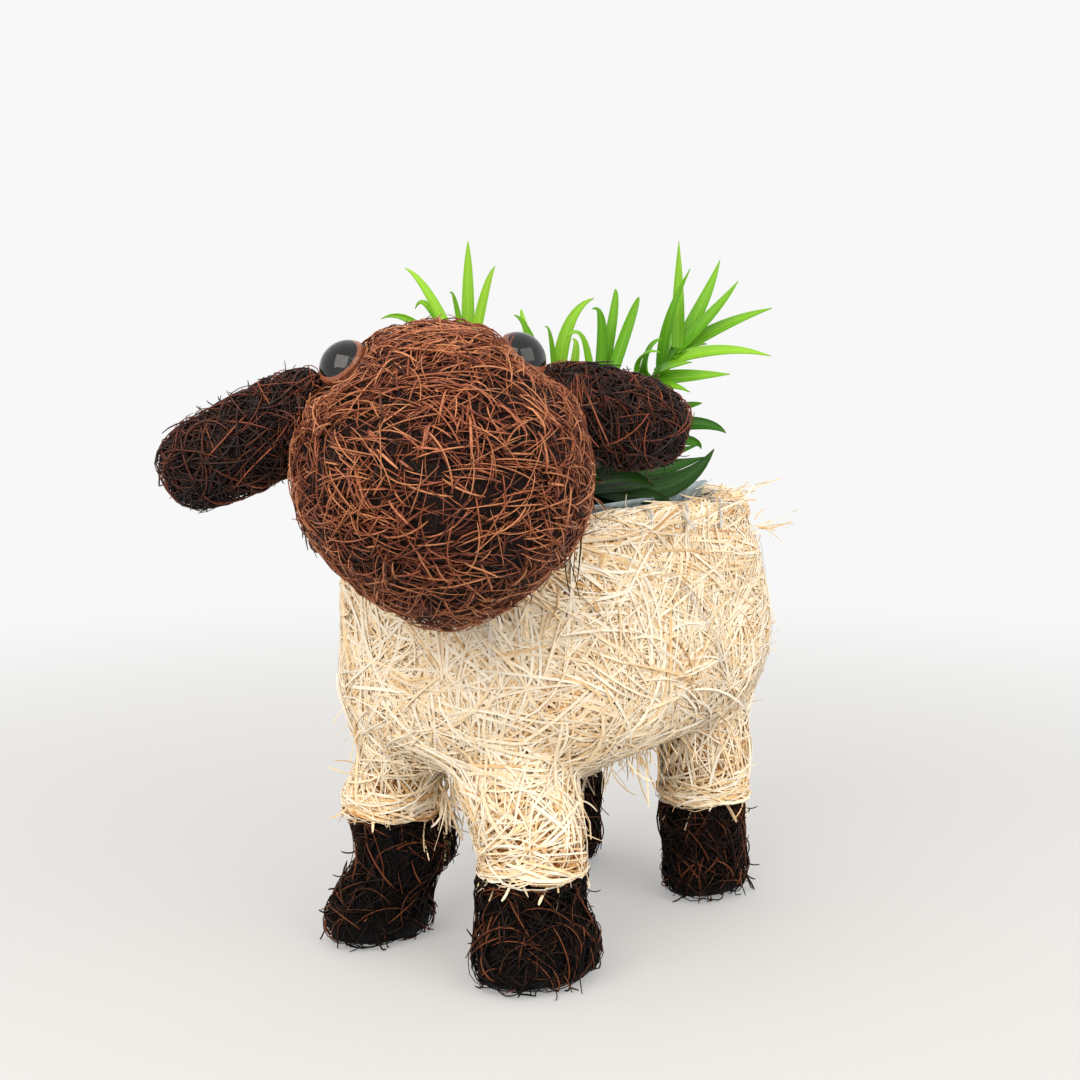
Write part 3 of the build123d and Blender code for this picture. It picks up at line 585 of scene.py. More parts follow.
# %% Loose ends
def loose_ends(name, at, way, seed, spec, length, curl, sag, points=9):
    """Strands that leave their places along a way, curl and sag. They stay above the floor."""
    rng = np.random.default_rng(seed)
    count = len(at)
    reach = rng.uniform(*length, count) * MM
    step = (reach / (points - 1))[:, None]
    axis = unit(rng.normal(size=(count, 3)))
    turn = (rng.normal(0, curl, count) / (points - 1))[:, None]
    spot, ahead = np.array(at, float), unit(np.array(way, float))
    line = np.empty((count, points, 3))
    for i in range(points):
        line[:, i] = spot
        spot = spot + ahead * step
        ahead = ahead + np.cross(axis, ahead) * turn
        ahead[:, 2] -= sag / (points - 1)
        ahead = unit(ahead)
    line[..., 2] = np.maximum(line[..., 2], FLOOR_CLEAR)
    up = np.repeat(axis[:, None, :], points, axis=1)
    width = rng.uniform(*spec["width"], count) * MM
    thick = width * rng.uniform(*spec["flat"], count)
    roll, twist = rng.normal(0, spec["roll"], count), rng.normal(0, spec["twist"], count)
    tone = np.clip(spec["tone"] + rng.normal(0, spec["vary"], count), 0, 1)
    return strand_mesh(name, line, up, width, thick, roll, twist, tone, spec["sides"])


def ends_on(surface, count, seed, keep, out, angle):
    """Places for loose ends, sunk a little into a form, and the ways that they leave it."""
    rng = np.random.default_rng(seed)
    at, facing = places_on(surface, count, rng, keep)
    slant = headed(facing, angle(rng, at, facing))
    return at - facing * 2 * MM, facing * rng.uniform(0.4, 1.0, (count, 1)) * out + slant

# %% Finish strands and mats
def laid(piece, kind):
    """Finishes strands of one kind, which ride on the sheep."""
    return finished(piece, "sheep", fibre[kind + "_strands"], kind)


def matted(form, name, kind, sink, *replaced):
    """Sinks a working form under its strands and finishes it as the mat that stands for CAD nodes."""
    applied(form, "DISPLACE", strength=-sink, mid_level=0.0)
    form.name = form.data.name = name
    return finished(shaded(form), "sheep", fibre[kind + "_mat"], kind, *replaced)


def clump(rng, middle, spread, count):
    """Places scattered about the middle of a clump. Middle and spread are in mm."""
    return np.array(middle) * MM + rng.normal(0, 1, (count, 3)) * np.array(spread) * MM

# %% The two kinds of strand
STRAW = {
    # lengths and heights in mm, low and high over the form; flat is thickness as a share of width;
    # lift darkens the deeper strands and lightens those on top: painted shade and light
    "length": (34, 80), "bend": 0.8, "points": 7, "sides": 4, "low": -2.1, "high": 1.0, "bow": 1.3,
    "dive": 2.4, "loose": 0.04, "fly": 6, "width": (0.8, 2.2), "flat": (0.12, 0.24), "roll": 0.35,
    "twist": 0.9, "tone": 0.68, "lift": 0.5, "vary": 0.2, "bundled": 0.55, "bundle": 6, "apart": 2.2,
}
COIR = {
    "length": (9, 30), "bend": 1.4, "points": 7, "sides": 3, "low": -3.4, "high": 0.5, "bow": 1.5,
    "dive": 1.6, "loose": 0.08, "fly": 5, "width": (0.45, 0.95), "flat": (0.8, 1.0), "roll": 3.0,
    "twist": 0.5, "tone": 0.5, "lift": 0.6, "vary": 0.22, "bundled": 0.5, "bundle": 6, "apart": 1.8,
}
print("straw", STRAW["width"], "mm wide, coir", COIR["width"], "mm wide")

# %% [markdown]
# ## Working forms
# Strands need an even surface to walk on. Copies of the straw solids are joined and remeshed with
# small voxels, which melts legs, neck, rim and body into one hide without seams. Head, ears and boots
# each get their own form. Hand winding leaves soft lumps, so smooth noise moves the points in and out,
# and no two legs are wound equally tight.

# %% Remesh and roughen
LEGS = ("front_right", "front_left", "rear_right", "rear_left")
CUFFS = {leg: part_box(leg + "_boot")[1][2] for leg in LEGS}
STRAW_NODES = ("body_fleece", "rim_roll", "neck_fleece", *(leg + "_leg_fleece" for leg in LEGS))


def points_of(ob):
    """A mesh's points as an array."""
    points = np.empty(len(ob.data.vertices) * 3)
    ob.data.vertices.foreach_get("co", points)
    return points.reshape(-1, 3)


def set_points(ob, points):
    """Writes an array of points back to a mesh."""
    ob.data.vertices.foreach_set("co", np.ascontiguousarray(points, dtype=np.float32).reshape(-1))
    ob.data.update()


def lumpy(ob, height, size, seed):
    """Moves a form's points in and out by smooth noise."""
    points = points_of(ob)
    facing = np.empty(points.size)
    ob.data.vertex_normals.foreach_get("vector", facing)
    apart = Vector((7.3, 3.1, 5.7)) * seed
    swell = np.array([noise.noise(Vector(point) / size + apart) for point in points])
    set_points(ob, points + facing.reshape(-1, 3) * swell[:, None] * height)


def form_of(name, voxel, rounds, lump, *sources):
    """A closed, even working form over CAD solids, with soft lumps."""
    made = free_copy(name, *sources)
    applied(made, "REMESH", mode="VOXEL", voxel_size=voxel)
    applied(made, "SMOOTH", factor=0.5, iterations=rounds)
    lumpy(made, lump, 32 * MM, len(name))
    return made

# %% The forms of hide, head, ears and boots
hide = form_of("straw_hide", 2.6 * MM, 12, 2.2 * MM, *STRAW_NODES)
# each leg is wound tighter or looser above its cuff: share of the radius drawn in, or let out
LEG_DRAWS = {"front_right": 0.13, "front_left": -0.08, "rear_left": 0.04}
LEG_REACH, WAIST_ABOVE_CUFF, WAIST_TOP = 36 * MM, 10 * MM, 104 * MM
shape = points_of(hide)
for leg, draw in LEG_DRAWS.items():
    low, high = (np.array(corner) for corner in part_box(leg + "_leg_fleece"))
    axis = (low[:2] + high[:2]) / 2
    span = WAIST_TOP - CUFFS[leg] - WAIST_ABOVE_CUFF
    share = np.clip((shape[:, 2] - CUFFS[leg] - WAIST_ABOVE_CUFF) / span, 0, 1)
    near = np.hypot(*(shape[:, :2] - axis).T) < LEG_REACH
    scale = 1 - draw * np.sin(math.pi * share) * near
    shape[:, :2] = axis + (shape[:, :2] - axis) * scale[:, None]
set_points(hide, shape)
head_form = form_of("head_form", 2.2 * MM, 5, 1.4 * MM, "head")
ear_forms = {
    side: form_of(side + "_ear_form", 1.8 * MM, 5, 1.6 * MM, side + "_ear") for side in ("right", "left")}
boot_forms = {leg: form_of(leg + "_boot_form", 1.8 * MM, 5, 1.4 * MM, leg + "_boot") for leg in LEGS}
print("hide faces:", len(hide.data.polygons), "head faces:", len(head_form.data.polygons))

# %% [markdown]
# ## Straw body and legs
# The body is wound at random, the rim and the cuffs run level round the form, and the legs are laid
# mostly up and down. The strands are split into pieces by region, so that none grows too large.

# %% Where straw lies, and which way it runs
POCKET_HALF, POCKET_MIDDLE, POCKET_HALF_LENGTH = 57 * MM, 8 * MM, 90 * MM
POCKET_BED, BODY_LOW = 96 * MM, 88 * MM
RIM_FROM = 186 * MM
LEVEL_FROM, LEVEL_OVER = 160 * MM, 30 * MM  # where the strands start to run level, and how fast
SHOULDER, RUMP = -45 * MM, 75 * MM  # where the patches of straw meet
LEG_NEAR, CUFF_DEPTH, LEG_OVERLAP, CUFF_GAP = 42 * MM, 14 * MM, 12 * MM, 2 * MM
BODY_STRANDS, RIM_STRANDS, LEG_STRANDS, CUFF_STRANDS, CUFF_ENDS = 3050, 820, 680, 130, 36
straw_surface = surface_of(hide)


def outside_pocket(at):
    """Places that aren't on the walls of the planting pocket."""
    inside = ((np.abs(at[:, 0]) < POCKET_HALF) & (np.abs(at[:, 1] - POCKET_MIDDLE) < POCKET_HALF_LENGTH)
              & (at[:, 2] > POCKET_BED))
    return ~inside


def body_angle(rng, at, facing):
    """Mostly random, with a leaning to level that grows towards the rim."""
    count = len(at)
    loose = rng.uniform(0, math.pi, count)
    level = rng.normal(0, 0.45, count)
    pull = 0.3 + 0.6 * np.clip((at[:, 2] - LEVEL_FROM) / LEVEL_OVER, 0, 1)
    return np.where(rng.random(count) < pull, level, loose)


def leg_angle(rng, at, facing):
    """Up and down the leg, crossing at a slant."""
    return math.pi / 2 + rng.normal(0, 0.75, len(at))


def level_angle(rng, at, facing):
    """Round the form, nearly level."""
    return rng.normal(0, 0.16, len(at))


def down_angle(rng, at, facing):
    """Straight down the form, fanned a little."""
    return -math.pi / 2 + rng.normal(0, 0.4, len(at))


def any_angle(rng, at, facing):
    """Any way on the form."""
    return rng.uniform(0, 2 * math.pi, len(at))

# %% Straw of the body and the rim
BODY_PATCHES = {
    "body_straw_front": lambda at: at[:, 1] < SHOULDER,
    "body_straw_left": lambda at: (at[:, 1] >= SHOULDER) & (at[:, 1] < RUMP) & (at[:, 0] > 0),
    "body_straw_right": lambda at: (at[:, 1] >= SHOULDER) & (at[:, 1] < RUMP) & (at[:, 0] <= 0),
    "body_straw_rear": lambda at: at[:, 1] >= RUMP,
}
for seed, (name, patch) in enumerate(BODY_PATCHES.items(), start=11):
    piece = fibres(name, straw_surface, BODY_STRANDS, seed, STRAW, body_angle,
                   lambda at, way: outside_pocket(at) & (at[:, 2] > BODY_LOW) & patch(at))
    laid(piece, "straw")

rim = fibres("rim_straw", straw_surface, RIM_STRANDS, 21,
             STRAW | {"bend": 0.2, "low": -1.2, "high": 1.6, "tone": 0.42, "bundled": 0.85}, level_angle,
             lambda at, way: outside_pocket(at) & (at[:, 2] > RIM_FROM), length=(45, 100))
laid(rim, "straw")

# %% Legs and cuffs
for seed, leg in enumerate(LEGS, start=31):
    low, high = (np.array(corner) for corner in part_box(leg + "_leg_fleece"))
    middle = (low + high) / 2

    def on_leg(at, way, middle=middle, cuff=CUFFS[leg]):
        near = np.hypot(at[:, 0] - middle[0], at[:, 1] - middle[1]) < LEG_NEAR
        between = (at[:, 2] < BODY_LOW + LEG_OVERLAP) & (at[:, 2] > cuff + CUFF_GAP)
        return near & between & (way[:, 2] > -0.75)

    def on_cuff(at, way, middle=middle, cuff=CUFFS[leg]):
        near = np.hypot(at[:, 0] - middle[0], at[:, 1] - middle[1]) < LEG_NEAR
        return near & (at[:, 2] < cuff + CUFF_DEPTH) & (way[:, 2] > -0.6)

    shaft = fibres(leg + "_leg_straw", straw_surface, LEG_STRANDS, seed, STRAW | {"loose": 0.07},
                   leg_angle, on_leg, length=(22, 48))
    laid(shaft, "straw")
    cuff = fibres(leg + "_cuff_straw", straw_surface, CUFF_STRANDS, seed + 10,
                  STRAW | {"bend": 0.4, "low": -1.0, "high": 1.2}, level_angle, on_cuff, length=(30, 70))
    laid(cuff, "straw")
    at, way = ends_on(straw_surface, CUFF_ENDS, seed + 20, on_cuff, 0.45, down_angle)
    ends = loose_ends(leg + "_cuff_ends", at, way, seed + 20, STRAW, (5, 17), 1.3, 0.4)
    laid(ends, "straw")

# %% [markdown]
# Loose ends stand off the hide all over. A few hang under the belly, one clump hangs inside the right
# front cuff, and ends stick out at the rear of the rim. Fine nylon thread, which holds the straw while it
# is wound, runs down the sides.

# %% Loose straw
LOOSE_FROM, LOOSE_STRANDS = 60 * MM, 240
at, way = ends_on(straw_surface, LOOSE_STRANDS, 81,
                  lambda at, way: outside_pocket(at) & (at[:, 2] > LOOSE_FROM), 0.55, any_angle)
ends = loose_ends("loose_straw", at, way, 81, STRAW | {"width": (0.5, 1.4)}, (8, 24), 1.1, 0.25)
laid(ends, "straw")

# %% Hanging straw and tufts
# each clump: its middle and its spread in mm, and how many strands it has
BELLY_HANG, CUFF_CLUMP = ((46, 8, 91), (12, 24, 3), 70), ((-21, -52, 70), (5, 6, 7), 90)
RIM_TUFTS = (((66, 54, 205), (3, 10, 3), 34), ((70, 82, 190), (3, 10, 3), 12))
rng = np.random.default_rng(82)
hang_at = np.concatenate([clump(rng, *BELLY_HANG), clump(rng, *CUFF_CLUMP)])
hang_way = rng.normal(0, 0.5, (len(hang_at), 3)) + np.array((0.15, -0.1, -1.0))
ends = loose_ends("hanging_straw", hang_at, hang_way, 83, STRAW | {"width": (0.6, 1.7)}, (10, 27), 1.2, 0.7)
laid(ends, "straw")

rng = np.random.default_rng(85)
tuft_at = np.concatenate([clump(rng, *tuft) for tuft in RIM_TUFTS])
tuft_way = rng.normal(0, 0.45, (len(tuft_at), 3)) + np.array(view_right) * 0.9 + np.array((0, 0, 0.35))
ends = loose_ends("rim_tufts", tuft_at, tuft_way, 86, STRAW | {"width": (0.6, 1.6)}, (8, 20), 1.2, 0.3)
laid(ends, "straw")

# %% Nylon thread
THREADS, THREAD_FROM = 60, 150 * MM
THREAD = STRAW | {
    "width": (0.2, 0.32), "flat": (0.9, 1.0), "sides": 3, "bend": 0.15, "low": 1.4, "high": 2.4,
    "tone": 0.6, "points": 14}
threads = fibres("nylon_thread", straw_surface, THREADS, 84, THREAD, down_angle,
                 lambda at, way: outside_pocket(at) & (at[:, 2] > THREAD_FROM), length=(60, 120))
finished(threads, "sheep", fibre["nylon_threads"], "straw")

# %% [markdown]
# Behind the neck the wire that carries the head comes up bare between the film and the fleece, so the
# winder wraps it with straw. A copy of the wire is cut above the film and swollen by the wrap.

# %% Straw round the neck wire
WRAP_FROM, WRAP_TO, WRAP_THICK, WRAP_STRANDS = 205 * MM, -100 * MM, 1.0 * MM, 150
WRAP_STRAW = STRAW | {
    "bend": 0.2, "low": -0.5, "high": 0.2, "bow": 0.3, "dive": 0.4, "loose": 0, "width": (0.6, 1.3)}
wrap = free_copy("neck_wrap", "neck_wire")
bpy.ops.object.mode_set(mode="EDIT")
bpy.ops.mesh.select_all(action="SELECT")
bpy.ops.mesh.bisect(plane_co=(0, 0, WRAP_FROM), plane_no=(0, 0, 1), clear_inner=True, use_fill=True)
bpy.ops.mesh.select_all(action="SELECT")
bpy.ops.mesh.normals_make_consistent(inside=False)
bpy.ops.object.mode_set(mode="OBJECT")
applied(wrap, "REMESH", mode="VOXEL", voxel_size=0.7 * MM)
applied(wrap, "SMOOTH", factor=0.5, iterations=2)
applied(wrap, "DISPLACE", strength=WRAP_THICK, mid_level=0.0)
wound = fibres("neck_wrap_straw", surface_of(wrap), WRAP_STRANDS, 87, WRAP_STRAW, down_angle,
               lambda at, way: at[:, 1] > WRAP_TO, length=(9, 24))
laid(wound, "straw")
finished(shaded(wrap), "sheep", fibre["straw_mat"], "straw")

# %% Straw mat
matted(hide, "straw_mat", "straw", 2.2 * MM, *STRAW_NODES)

# %% [markdown]
# ## Coir head, ears and boots
# The head is a wound ball whose lower half narrows to a chin, so the working form is drawn in there
# first. The coir is then laid as the straw was, thinner and wirier, and keeps clear of the two eyes.

# %% Head frame and eye seats
HEAD_MIDDLE = Vector((38.0, -123.0, 231.5)) * MM
HEAD_YAW, HEAD_DIP, HEAD_RADIUS = math.radians(44.5), math.radians(6.0), 60.5 * MM
head_forward = Vector((math.sin(HEAD_YAW) * math.cos(HEAD_DIP), -math.cos(HEAD_YAW) * math.cos(HEAD_DIP),
                       -math.sin(HEAD_DIP)))
head_across = Vector((math.cos(HEAD_YAW), math.sin(HEAD_YAW), 0.0))
head_up = head_forward.cross(head_across)
head_axes = np.array((head_across, head_up, head_forward))
EYE_TURNS, EYE_TILT = {"right": -math.radians(42.0), "left": math.radians(37.0)}, math.radians(20.0)
EYE_SEAT, EYE_SET_BACK, EYE_RADIUS = 57.5 * MM, 11.0 * MM, 11.0 * MM
EYE_BACK, EYE_DOME = 2.0 * MM, 7.0 * MM
eyes = {}
for side, turn in EYE_TURNS.items():
    out = head_across * math.sin(turn) + head_up * math.cos(turn)
    seat = HEAD_MIDDLE + out * EYE_SEAT - head_forward * EYE_SET_BACK
    eyes[side] = (seat, out * math.cos(EYE_TILT) + head_forward * math.sin(EYE_TILT))

# %% Chin and eye beds
CHIN_DRAW, CHIN_POWER = 0.42, 2.8
DENT_EDGE, DENT_SLOPE, DENT_DEPTH = EYE_RADIUS + 2.2 * MM, 0.5, 0.5 * MM
EYE_FAR, HEAD_FAR = -20 * MM, -30 * MM  # lower than this over an eye's seat is another side of the head
local = (points_of(head_form) - np.array(HEAD_MIDDLE)) @ head_axes.T
low_share = np.clip(-local[:, 1] / HEAD_RADIUS, 0, 1)
local[:, 0] *= 1 - CHIN_DRAW * low_share ** CHIN_POWER
shape = local @ head_axes + np.array(HEAD_MIDDLE)


def around_eye(points, seat, gaze):
    """How high points stand over an eye's seat, and how far from its axis."""
    apart = points - np.array(seat)
    height = apart @ np.array(gaze)
    return height, np.linalg.norm(apart - height[..., None] * np.array(gaze), axis=-1)


for seat, gaze in eyes.values():
    height, beside = around_eye(shape, seat, gaze)
    bed = np.maximum(beside - DENT_EDGE, 0) * DENT_SLOPE + DENT_DEPTH
    shape -= np.outer(np.where(height > HEAD_FAR, np.maximum(height - bed, 0), 0), np.array(gaze))
set_points(head_form, shape)
print("eyes at", {side: [round(x / MM) for x in seat] for side, (seat, gaze) in eyes.items()})

# %% Where coir lies, and which way it runs
def clear_of_eyes(at, way):
    """Places that no eye covers."""
    good = np.ones(len(at), bool)
    for seat, gaze in eyes.values():
        height, beside = around_eye(at, seat, gaze)
        good &= (beside > EYE_RADIUS + 1.5 * MM) | (height < EYE_FAR)
    return good


def past_eyes(line):
    """Strands of which no point lies over an eye."""
    good = np.ones(len(line), bool)
    for seat, gaze in eyes.values():
        height, beside = around_eye(line, seat, gaze)
        good &= ~((beside < EYE_RADIUS + 0.4 * MM) & (height > 0)).any(axis=1)
    return good


def wound_angle(rng, at, facing):
    """Half of the strands run nearly level round the ball, the rest any way."""
    count = len(at)
    return np.where(rng.random(count) < 0.5, rng.normal(0, 0.5, count), rng.uniform(0, math.pi, count))


def boot_angle(rng, at, facing):
    """From the cuff down to the toe, with a wide slant."""
    return math.pi / 2 + rng.normal(0, 0.85, len(at))

# %% Coir of the head
HEAD_STRANDS, HEAD_CHIPS, HEAD_ENDS = 4600, 520, 170
HEAD_SPLIT = 12 * MM  # the front piece and the back piece meet this far before the middle
head_surface = surface_of(head_form)
for seed, (name, sign) in enumerate((("head_coir_front", 1), ("head_coir_back", -1)), start=51):
    def half(at, way, sign=sign):
        ahead = (at - np.array(HEAD_MIDDLE)) @ np.array(head_forward)
        return clear_of_eyes(at, way) & (sign * (ahead - HEAD_SPLIT) > 0)

    head_coir = COIR | {"tone": 0.64}
    piece = fibres(name, head_surface, HEAD_STRANDS, seed, head_coir, wound_angle, half, clear=past_eyes)
    laid(piece, "coir")
CHIPS = COIR | {
    "width": (0.8, 1.4), "flat": (0.25, 0.4), "roll": 0.6, "bend": 0.6, "points": 5, "sides": 4,
    "low": -0.6, "high": 0.8, "tone": 0.76, "lift": 0.2, "vary": 0.16}
chips = fibres(
    "head_chips", head_surface, HEAD_CHIPS, 54, CHIPS, any_angle, clear_of_eyes, (6, 18), past_eyes)
laid(chips, "coir")
at, way = ends_on(head_surface, HEAD_ENDS, 53, clear_of_eyes, 0.5, any_angle)
ends = loose_ends("head_loose_coir", at, way, 53, COIR, (6, 18), 1.6, 0.2)
laid(ends, "coir")
matted(head_form, "head_mat", "coir", 2.8 * MM, "head")

# %% Coir of the ears
EAR_TONES = {"right": 0.17, "left": 0.12}
EAR_STRANDS, EAR_ENDS = 1600, 110
for seed, (side, form) in enumerate(ear_forms.items(), start=61):
    surface = surface_of(form)
    ear_coir = COIR | {
        "tone": EAR_TONES[side], "lift": 0.4, "vary": 0.2, "bend": 2.4, "width": (0.45, 0.95), "points": 8}
    piece = fibres(side + "_ear_coir", surface, EAR_STRANDS, seed, ear_coir, any_angle, clear_of_eyes,
                   (10, 36), past_eyes)
    laid(piece, "coir")
    at, way = ends_on(surface, EAR_ENDS, seed + 5, clear_of_eyes, 0.6, any_angle)
    ear_ends = ear_coir | {"width": (0.4, 0.8)}
    ends = loose_ends(side + "_ear_ends", at, way, seed + 5, ear_ends, (5, 14), 2.4, 0.2)
    laid(ends, "coir")
    matted(form, side + "_ear_mat", "coir", 2.4 * MM, side + "_ear")

# %% Coir of the boots
BOOT_STRANDS, BOOT_ENDS = 1400, 90
SOLE, INSTEP = 2.5 * MM, 50 * MM
for seed, (leg, form) in enumerate(boot_forms.items(), start=71):
    surface = surface_of(form)
    boot_coir = COIR | {"tone": 0.36, "lift": 0.75, "vary": 0.26, "bend": 1.8, "width": (0.5, 1.1)}
    piece = fibres(leg + "_boot_coir", surface, BOOT_STRANDS, seed, boot_coir, boot_angle,
                   lambda at, way: at[:, 2] > SOLE, length=(10, 34))
    laid(piece, "boot_coir")
    at, way = ends_on(surface, BOOT_ENDS, seed + 5, lambda at, way: at[:, 2] < INSTEP, 0.5, down_angle)
    ends = loose_ends(leg + "_boot_ends", at, way, seed + 5, boot_coir | {"tone": 0.6}, (5, 14), 2.4, 0.3)
    laid(ends, "boot_coir")
    matted(form, leg + "_boot_mat", "boot_coir", 2.2 * MM, leg + "_boot")

# %% [markdown]
# A tuft of coir hangs where the head's left cheek was tied off, with two ends of black thread below it.

# %% Cheek tuft
CHEEK = HEAD_MIDDLE + head_across * 57 * MM + head_up * 14 * MM - head_forward * 3 * MM
CHEEK_STRANDS, CHEEK_SPREAD = 110, (2, 2, 12)
rng = np.random.default_rng(91)
tuft_at = clump(rng, np.array(CHEEK) / MM, CHEEK_SPREAD, CHEEK_STRANDS)
tuft_way = rng.normal(0, 0.12, (CHEEK_STRANDS, 3)) + np.array(head_across) * 0.06 + np.array((0, 0, -1.0))
cheek_coir = COIR | {"tone": 0.6, "vary": 0.2}
tuft = loose_ends("cheek_tuft", tuft_at, tuft_way, 92, cheek_coir, (12, 32), 0.6, 0.4)
laid(tuft, "coir")
TIED_OFF = np.array(HEAD_MIDDLE + head_across * 52 * MM - head_up * 30 * MM)
thread = loose_ends("black_thread", TIED_OFF + np.zeros((2, 3)), ((0.3, 0.1, -1.0), (-0.2, 0.3, -1.0)), 93,
                    COIR | {"width": (0.5, 0.6), "tone": 0.1, "vary": 0.02}, (20, 26), 1.0, 0.4)
finished(thread, "sheep", fibre["boot_coir_strands"], "coir")

# %% [markdown]
# ## Eyes
# Each eye is a solid clear dome, bonded to an amber disc with a raised black pupil. Seen from the side
# the pupil covers the far half of the amber, and the edge of the dome turns pale. Dome and pupil are
# half profiles, spun round the eye's axis. The disc is the CAD node.

# %% Clear plastic, amber and black
# clear acrylic, moulded and polished: a sharp highlight, and a bent view of what lies under it
clear_plastic, tree, shader = new_material("clear_acrylic")
for socket, value in (("Roughness", 0.02), ("IOR", 1.49), ("Transmission Weight", 1.0)):
    shader.inputs[socket].default_value = value
path = node(tree, "ShaderNodeLightPath")
open_air = node(tree, "ShaderNodeBsdfTransparent")
mix = node(tree, "ShaderNodeMixShader", {
    0: path.outputs["Is Shadow Ray"], 1: shader.outputs["BSDF"], 2: open_air.outputs["BSDF"]})
tree.links.new(mix.outputs["Shader"], tree.nodes["Material Output"].inputs["Surface"])

# amber print, ink on the back of the eye: a warm brown with a faint grit and a dull shine
INK_GRIT_MM, DUST_MM = 0.9, 0.5
amber, tree, shader = new_material("amber_print")
place = node(tree, "ShaderNodeTexCoord")
grit = node(tree, "ShaderNodeTexNoise", {
    "Vector": place.outputs["Object"], "Scale": 1 / (INK_GRIT_MM * MM), "Detail": 3.0})
ramp = node(tree, "ShaderNodeValToRGB", {"Fac": grit.outputs["Fac"]}, ((0.3, "#7A3F26"), (0.7, "#B06A45")))
tree.links.new(ramp.outputs["Color"], shader.inputs["Base Color"])
shader.inputs["Roughness"].default_value = 0.4

# black lacquer: nearly no colour, with specks of dust that the dome keeps in
pupil_black, tree, shader = new_material("gloss_black_pupil")
place = node(tree, "ShaderNodeTexCoord")
dust = node(tree, "ShaderNodeTexNoise", {
    "Vector": place.outputs["Object"], "Scale": 1 / (DUST_MM * MM), "Detail": 2.0})
ramp = node(tree, "ShaderNodeValToRGB", {"Fac": dust.outputs["Fac"]},
            ((0.55, "#040404"), (0.75, "#1A1A19")))
tree.links.new(ramp.outputs["Color"], shader.inputs["Base Color"])
shader.inputs["Roughness"].default_value = 0.3
shader.inputs["Specular IOR Level"].default_value = 0.1

print("eye finishes:", clear_plastic.name, amber.name, pupil_black.name)

# %% Spin a half profile
CAP_STEPS, CAP_TURNS, CAP_MERGE = 14, 56, 0.005 * MM
BOND, PUPIL, PUPIL_RISE = 0.2 * MM, 7.9 * MM, 3.2 * MM


def cap_line(radius, rise, base):
    """Half the profile of a round cap, from its top to its edge."""
    ball = (radius ** 2 + rise ** 2) / (2 * rise)
    return [(ball * math.sin(a), 0.0, base + rise - ball * (1 - math.cos(a)))
            for a in np.linspace(0, math.asin(radius / ball), CAP_STEPS)]


def spun(name, profile, seat, gaze):
    """A closed piece spun from a half profile round an eye's axis."""
    mesh = bpy.data.meshes.new(name)
    mesh.from_pydata(profile, [(i, i + 1) for i in range(len(profile) - 1)], [])
    made = only(linked(name, mesh))
    bpy.ops.object.mode_set(mode="EDIT")
    bpy.ops.mesh.select_all(action="SELECT")
    bpy.ops.mesh.spin(steps=CAP_TURNS, angle=2 * math.pi, center=(0, 0, 0), axis=(0, 0, 1))
    bpy.ops.mesh.select_all(action="SELECT")
    bpy.ops.mesh.remove_doubles(threshold=CAP_MERGE)
    bpy.ops.mesh.normals_make_consistent(inside=False)
    bpy.ops.object.mode_set(mode="OBJECT")
    stand = Vector((0, 0, 1)).rotation_difference(gaze).to_matrix().to_4x4()
    stand.translation = seat
    mesh.transform(stand)
    return shaded(made, 35)

# %% Domes, pupils and discs
for side, (seat, gaze) in eyes.items():
    lens = cap_line(EYE_RADIUS, EYE_DOME, EYE_BACK)
    lens += [(EYE_RADIUS - BOND, 0.0, EYE_BACK - BOND), (0.0, 0.0, EYE_BACK - BOND)]
    dome = spun(side + "_eye_dome", lens, seat, gaze)
    finished(dome, "sheep", clear_plastic, "eye_clear", side + "_eye_lens")
    cap = cap_line(PUPIL, PUPIL_RISE, EYE_BACK) + [(0.0, 0.0, EYE_BACK)]
    finished(spun(side + "_eye_pupil", cap, seat, gaze), "sheep", pupil_black, "eye_amber")
    nodes[side + "_eye_back"].material_slots[0].material = amber

# %% [markdown]
# ## Film liner
# The pocket is lined with thin polythene film, cut as a tub: a floor with four walls turned up. Rings of
# points round the pocket make the sheet. Above the planting mix nothing presses it flat, so it is
# creased by noise, and its edge stands a little over the rim and leans out on the roll, except in front,
# where the neck wire holds it in.

# %% One ring round the pocket
LINER_HALF, LINER_HALF_LENGTH, LINER_CORNER = 48.0 * MM, 80.0 * MM, 35.0 * MM
LINER_FLOOR, MIX_TOP, FILM_TOP = 106.9 * MM, 165.7 * MM, 209.5 * MM
FILM_THICK, FILM_FLAT = 0.25 * MM, (0.305, 0.370)
RING, RING_FINE = 220, 721  # points in a ring of the film, and in the line that they are spaced along


def tub_ring(inset):
    """Evenly spaced points round the pocket, an inset in from the film's wall."""
    corner = max(LINER_CORNER - inset, 0.001)
    angle = np.linspace(0, 2 * math.pi, RING_FINE)
    core_x = (LINER_HALF - inset - corner) * np.sign(np.cos(angle))
    core_y = (LINER_HALF_LENGTH - inset - corner) * np.sign(np.sin(angle))
    edge = np.stack([core_x + corner * np.cos(angle), core_y + corner * np.sin(angle)], -1)
    along = np.concatenate([[0], np.cumsum(np.linalg.norm(np.diff(edge, axis=0), axis=1))])
    spots = np.linspace(0, along[-1], RING, endpoint=False)
    return np.stack([np.interp(spots, along, edge[:, i]) for i in (0, 1)], -1) + [0, POCKET_MIDDLE]

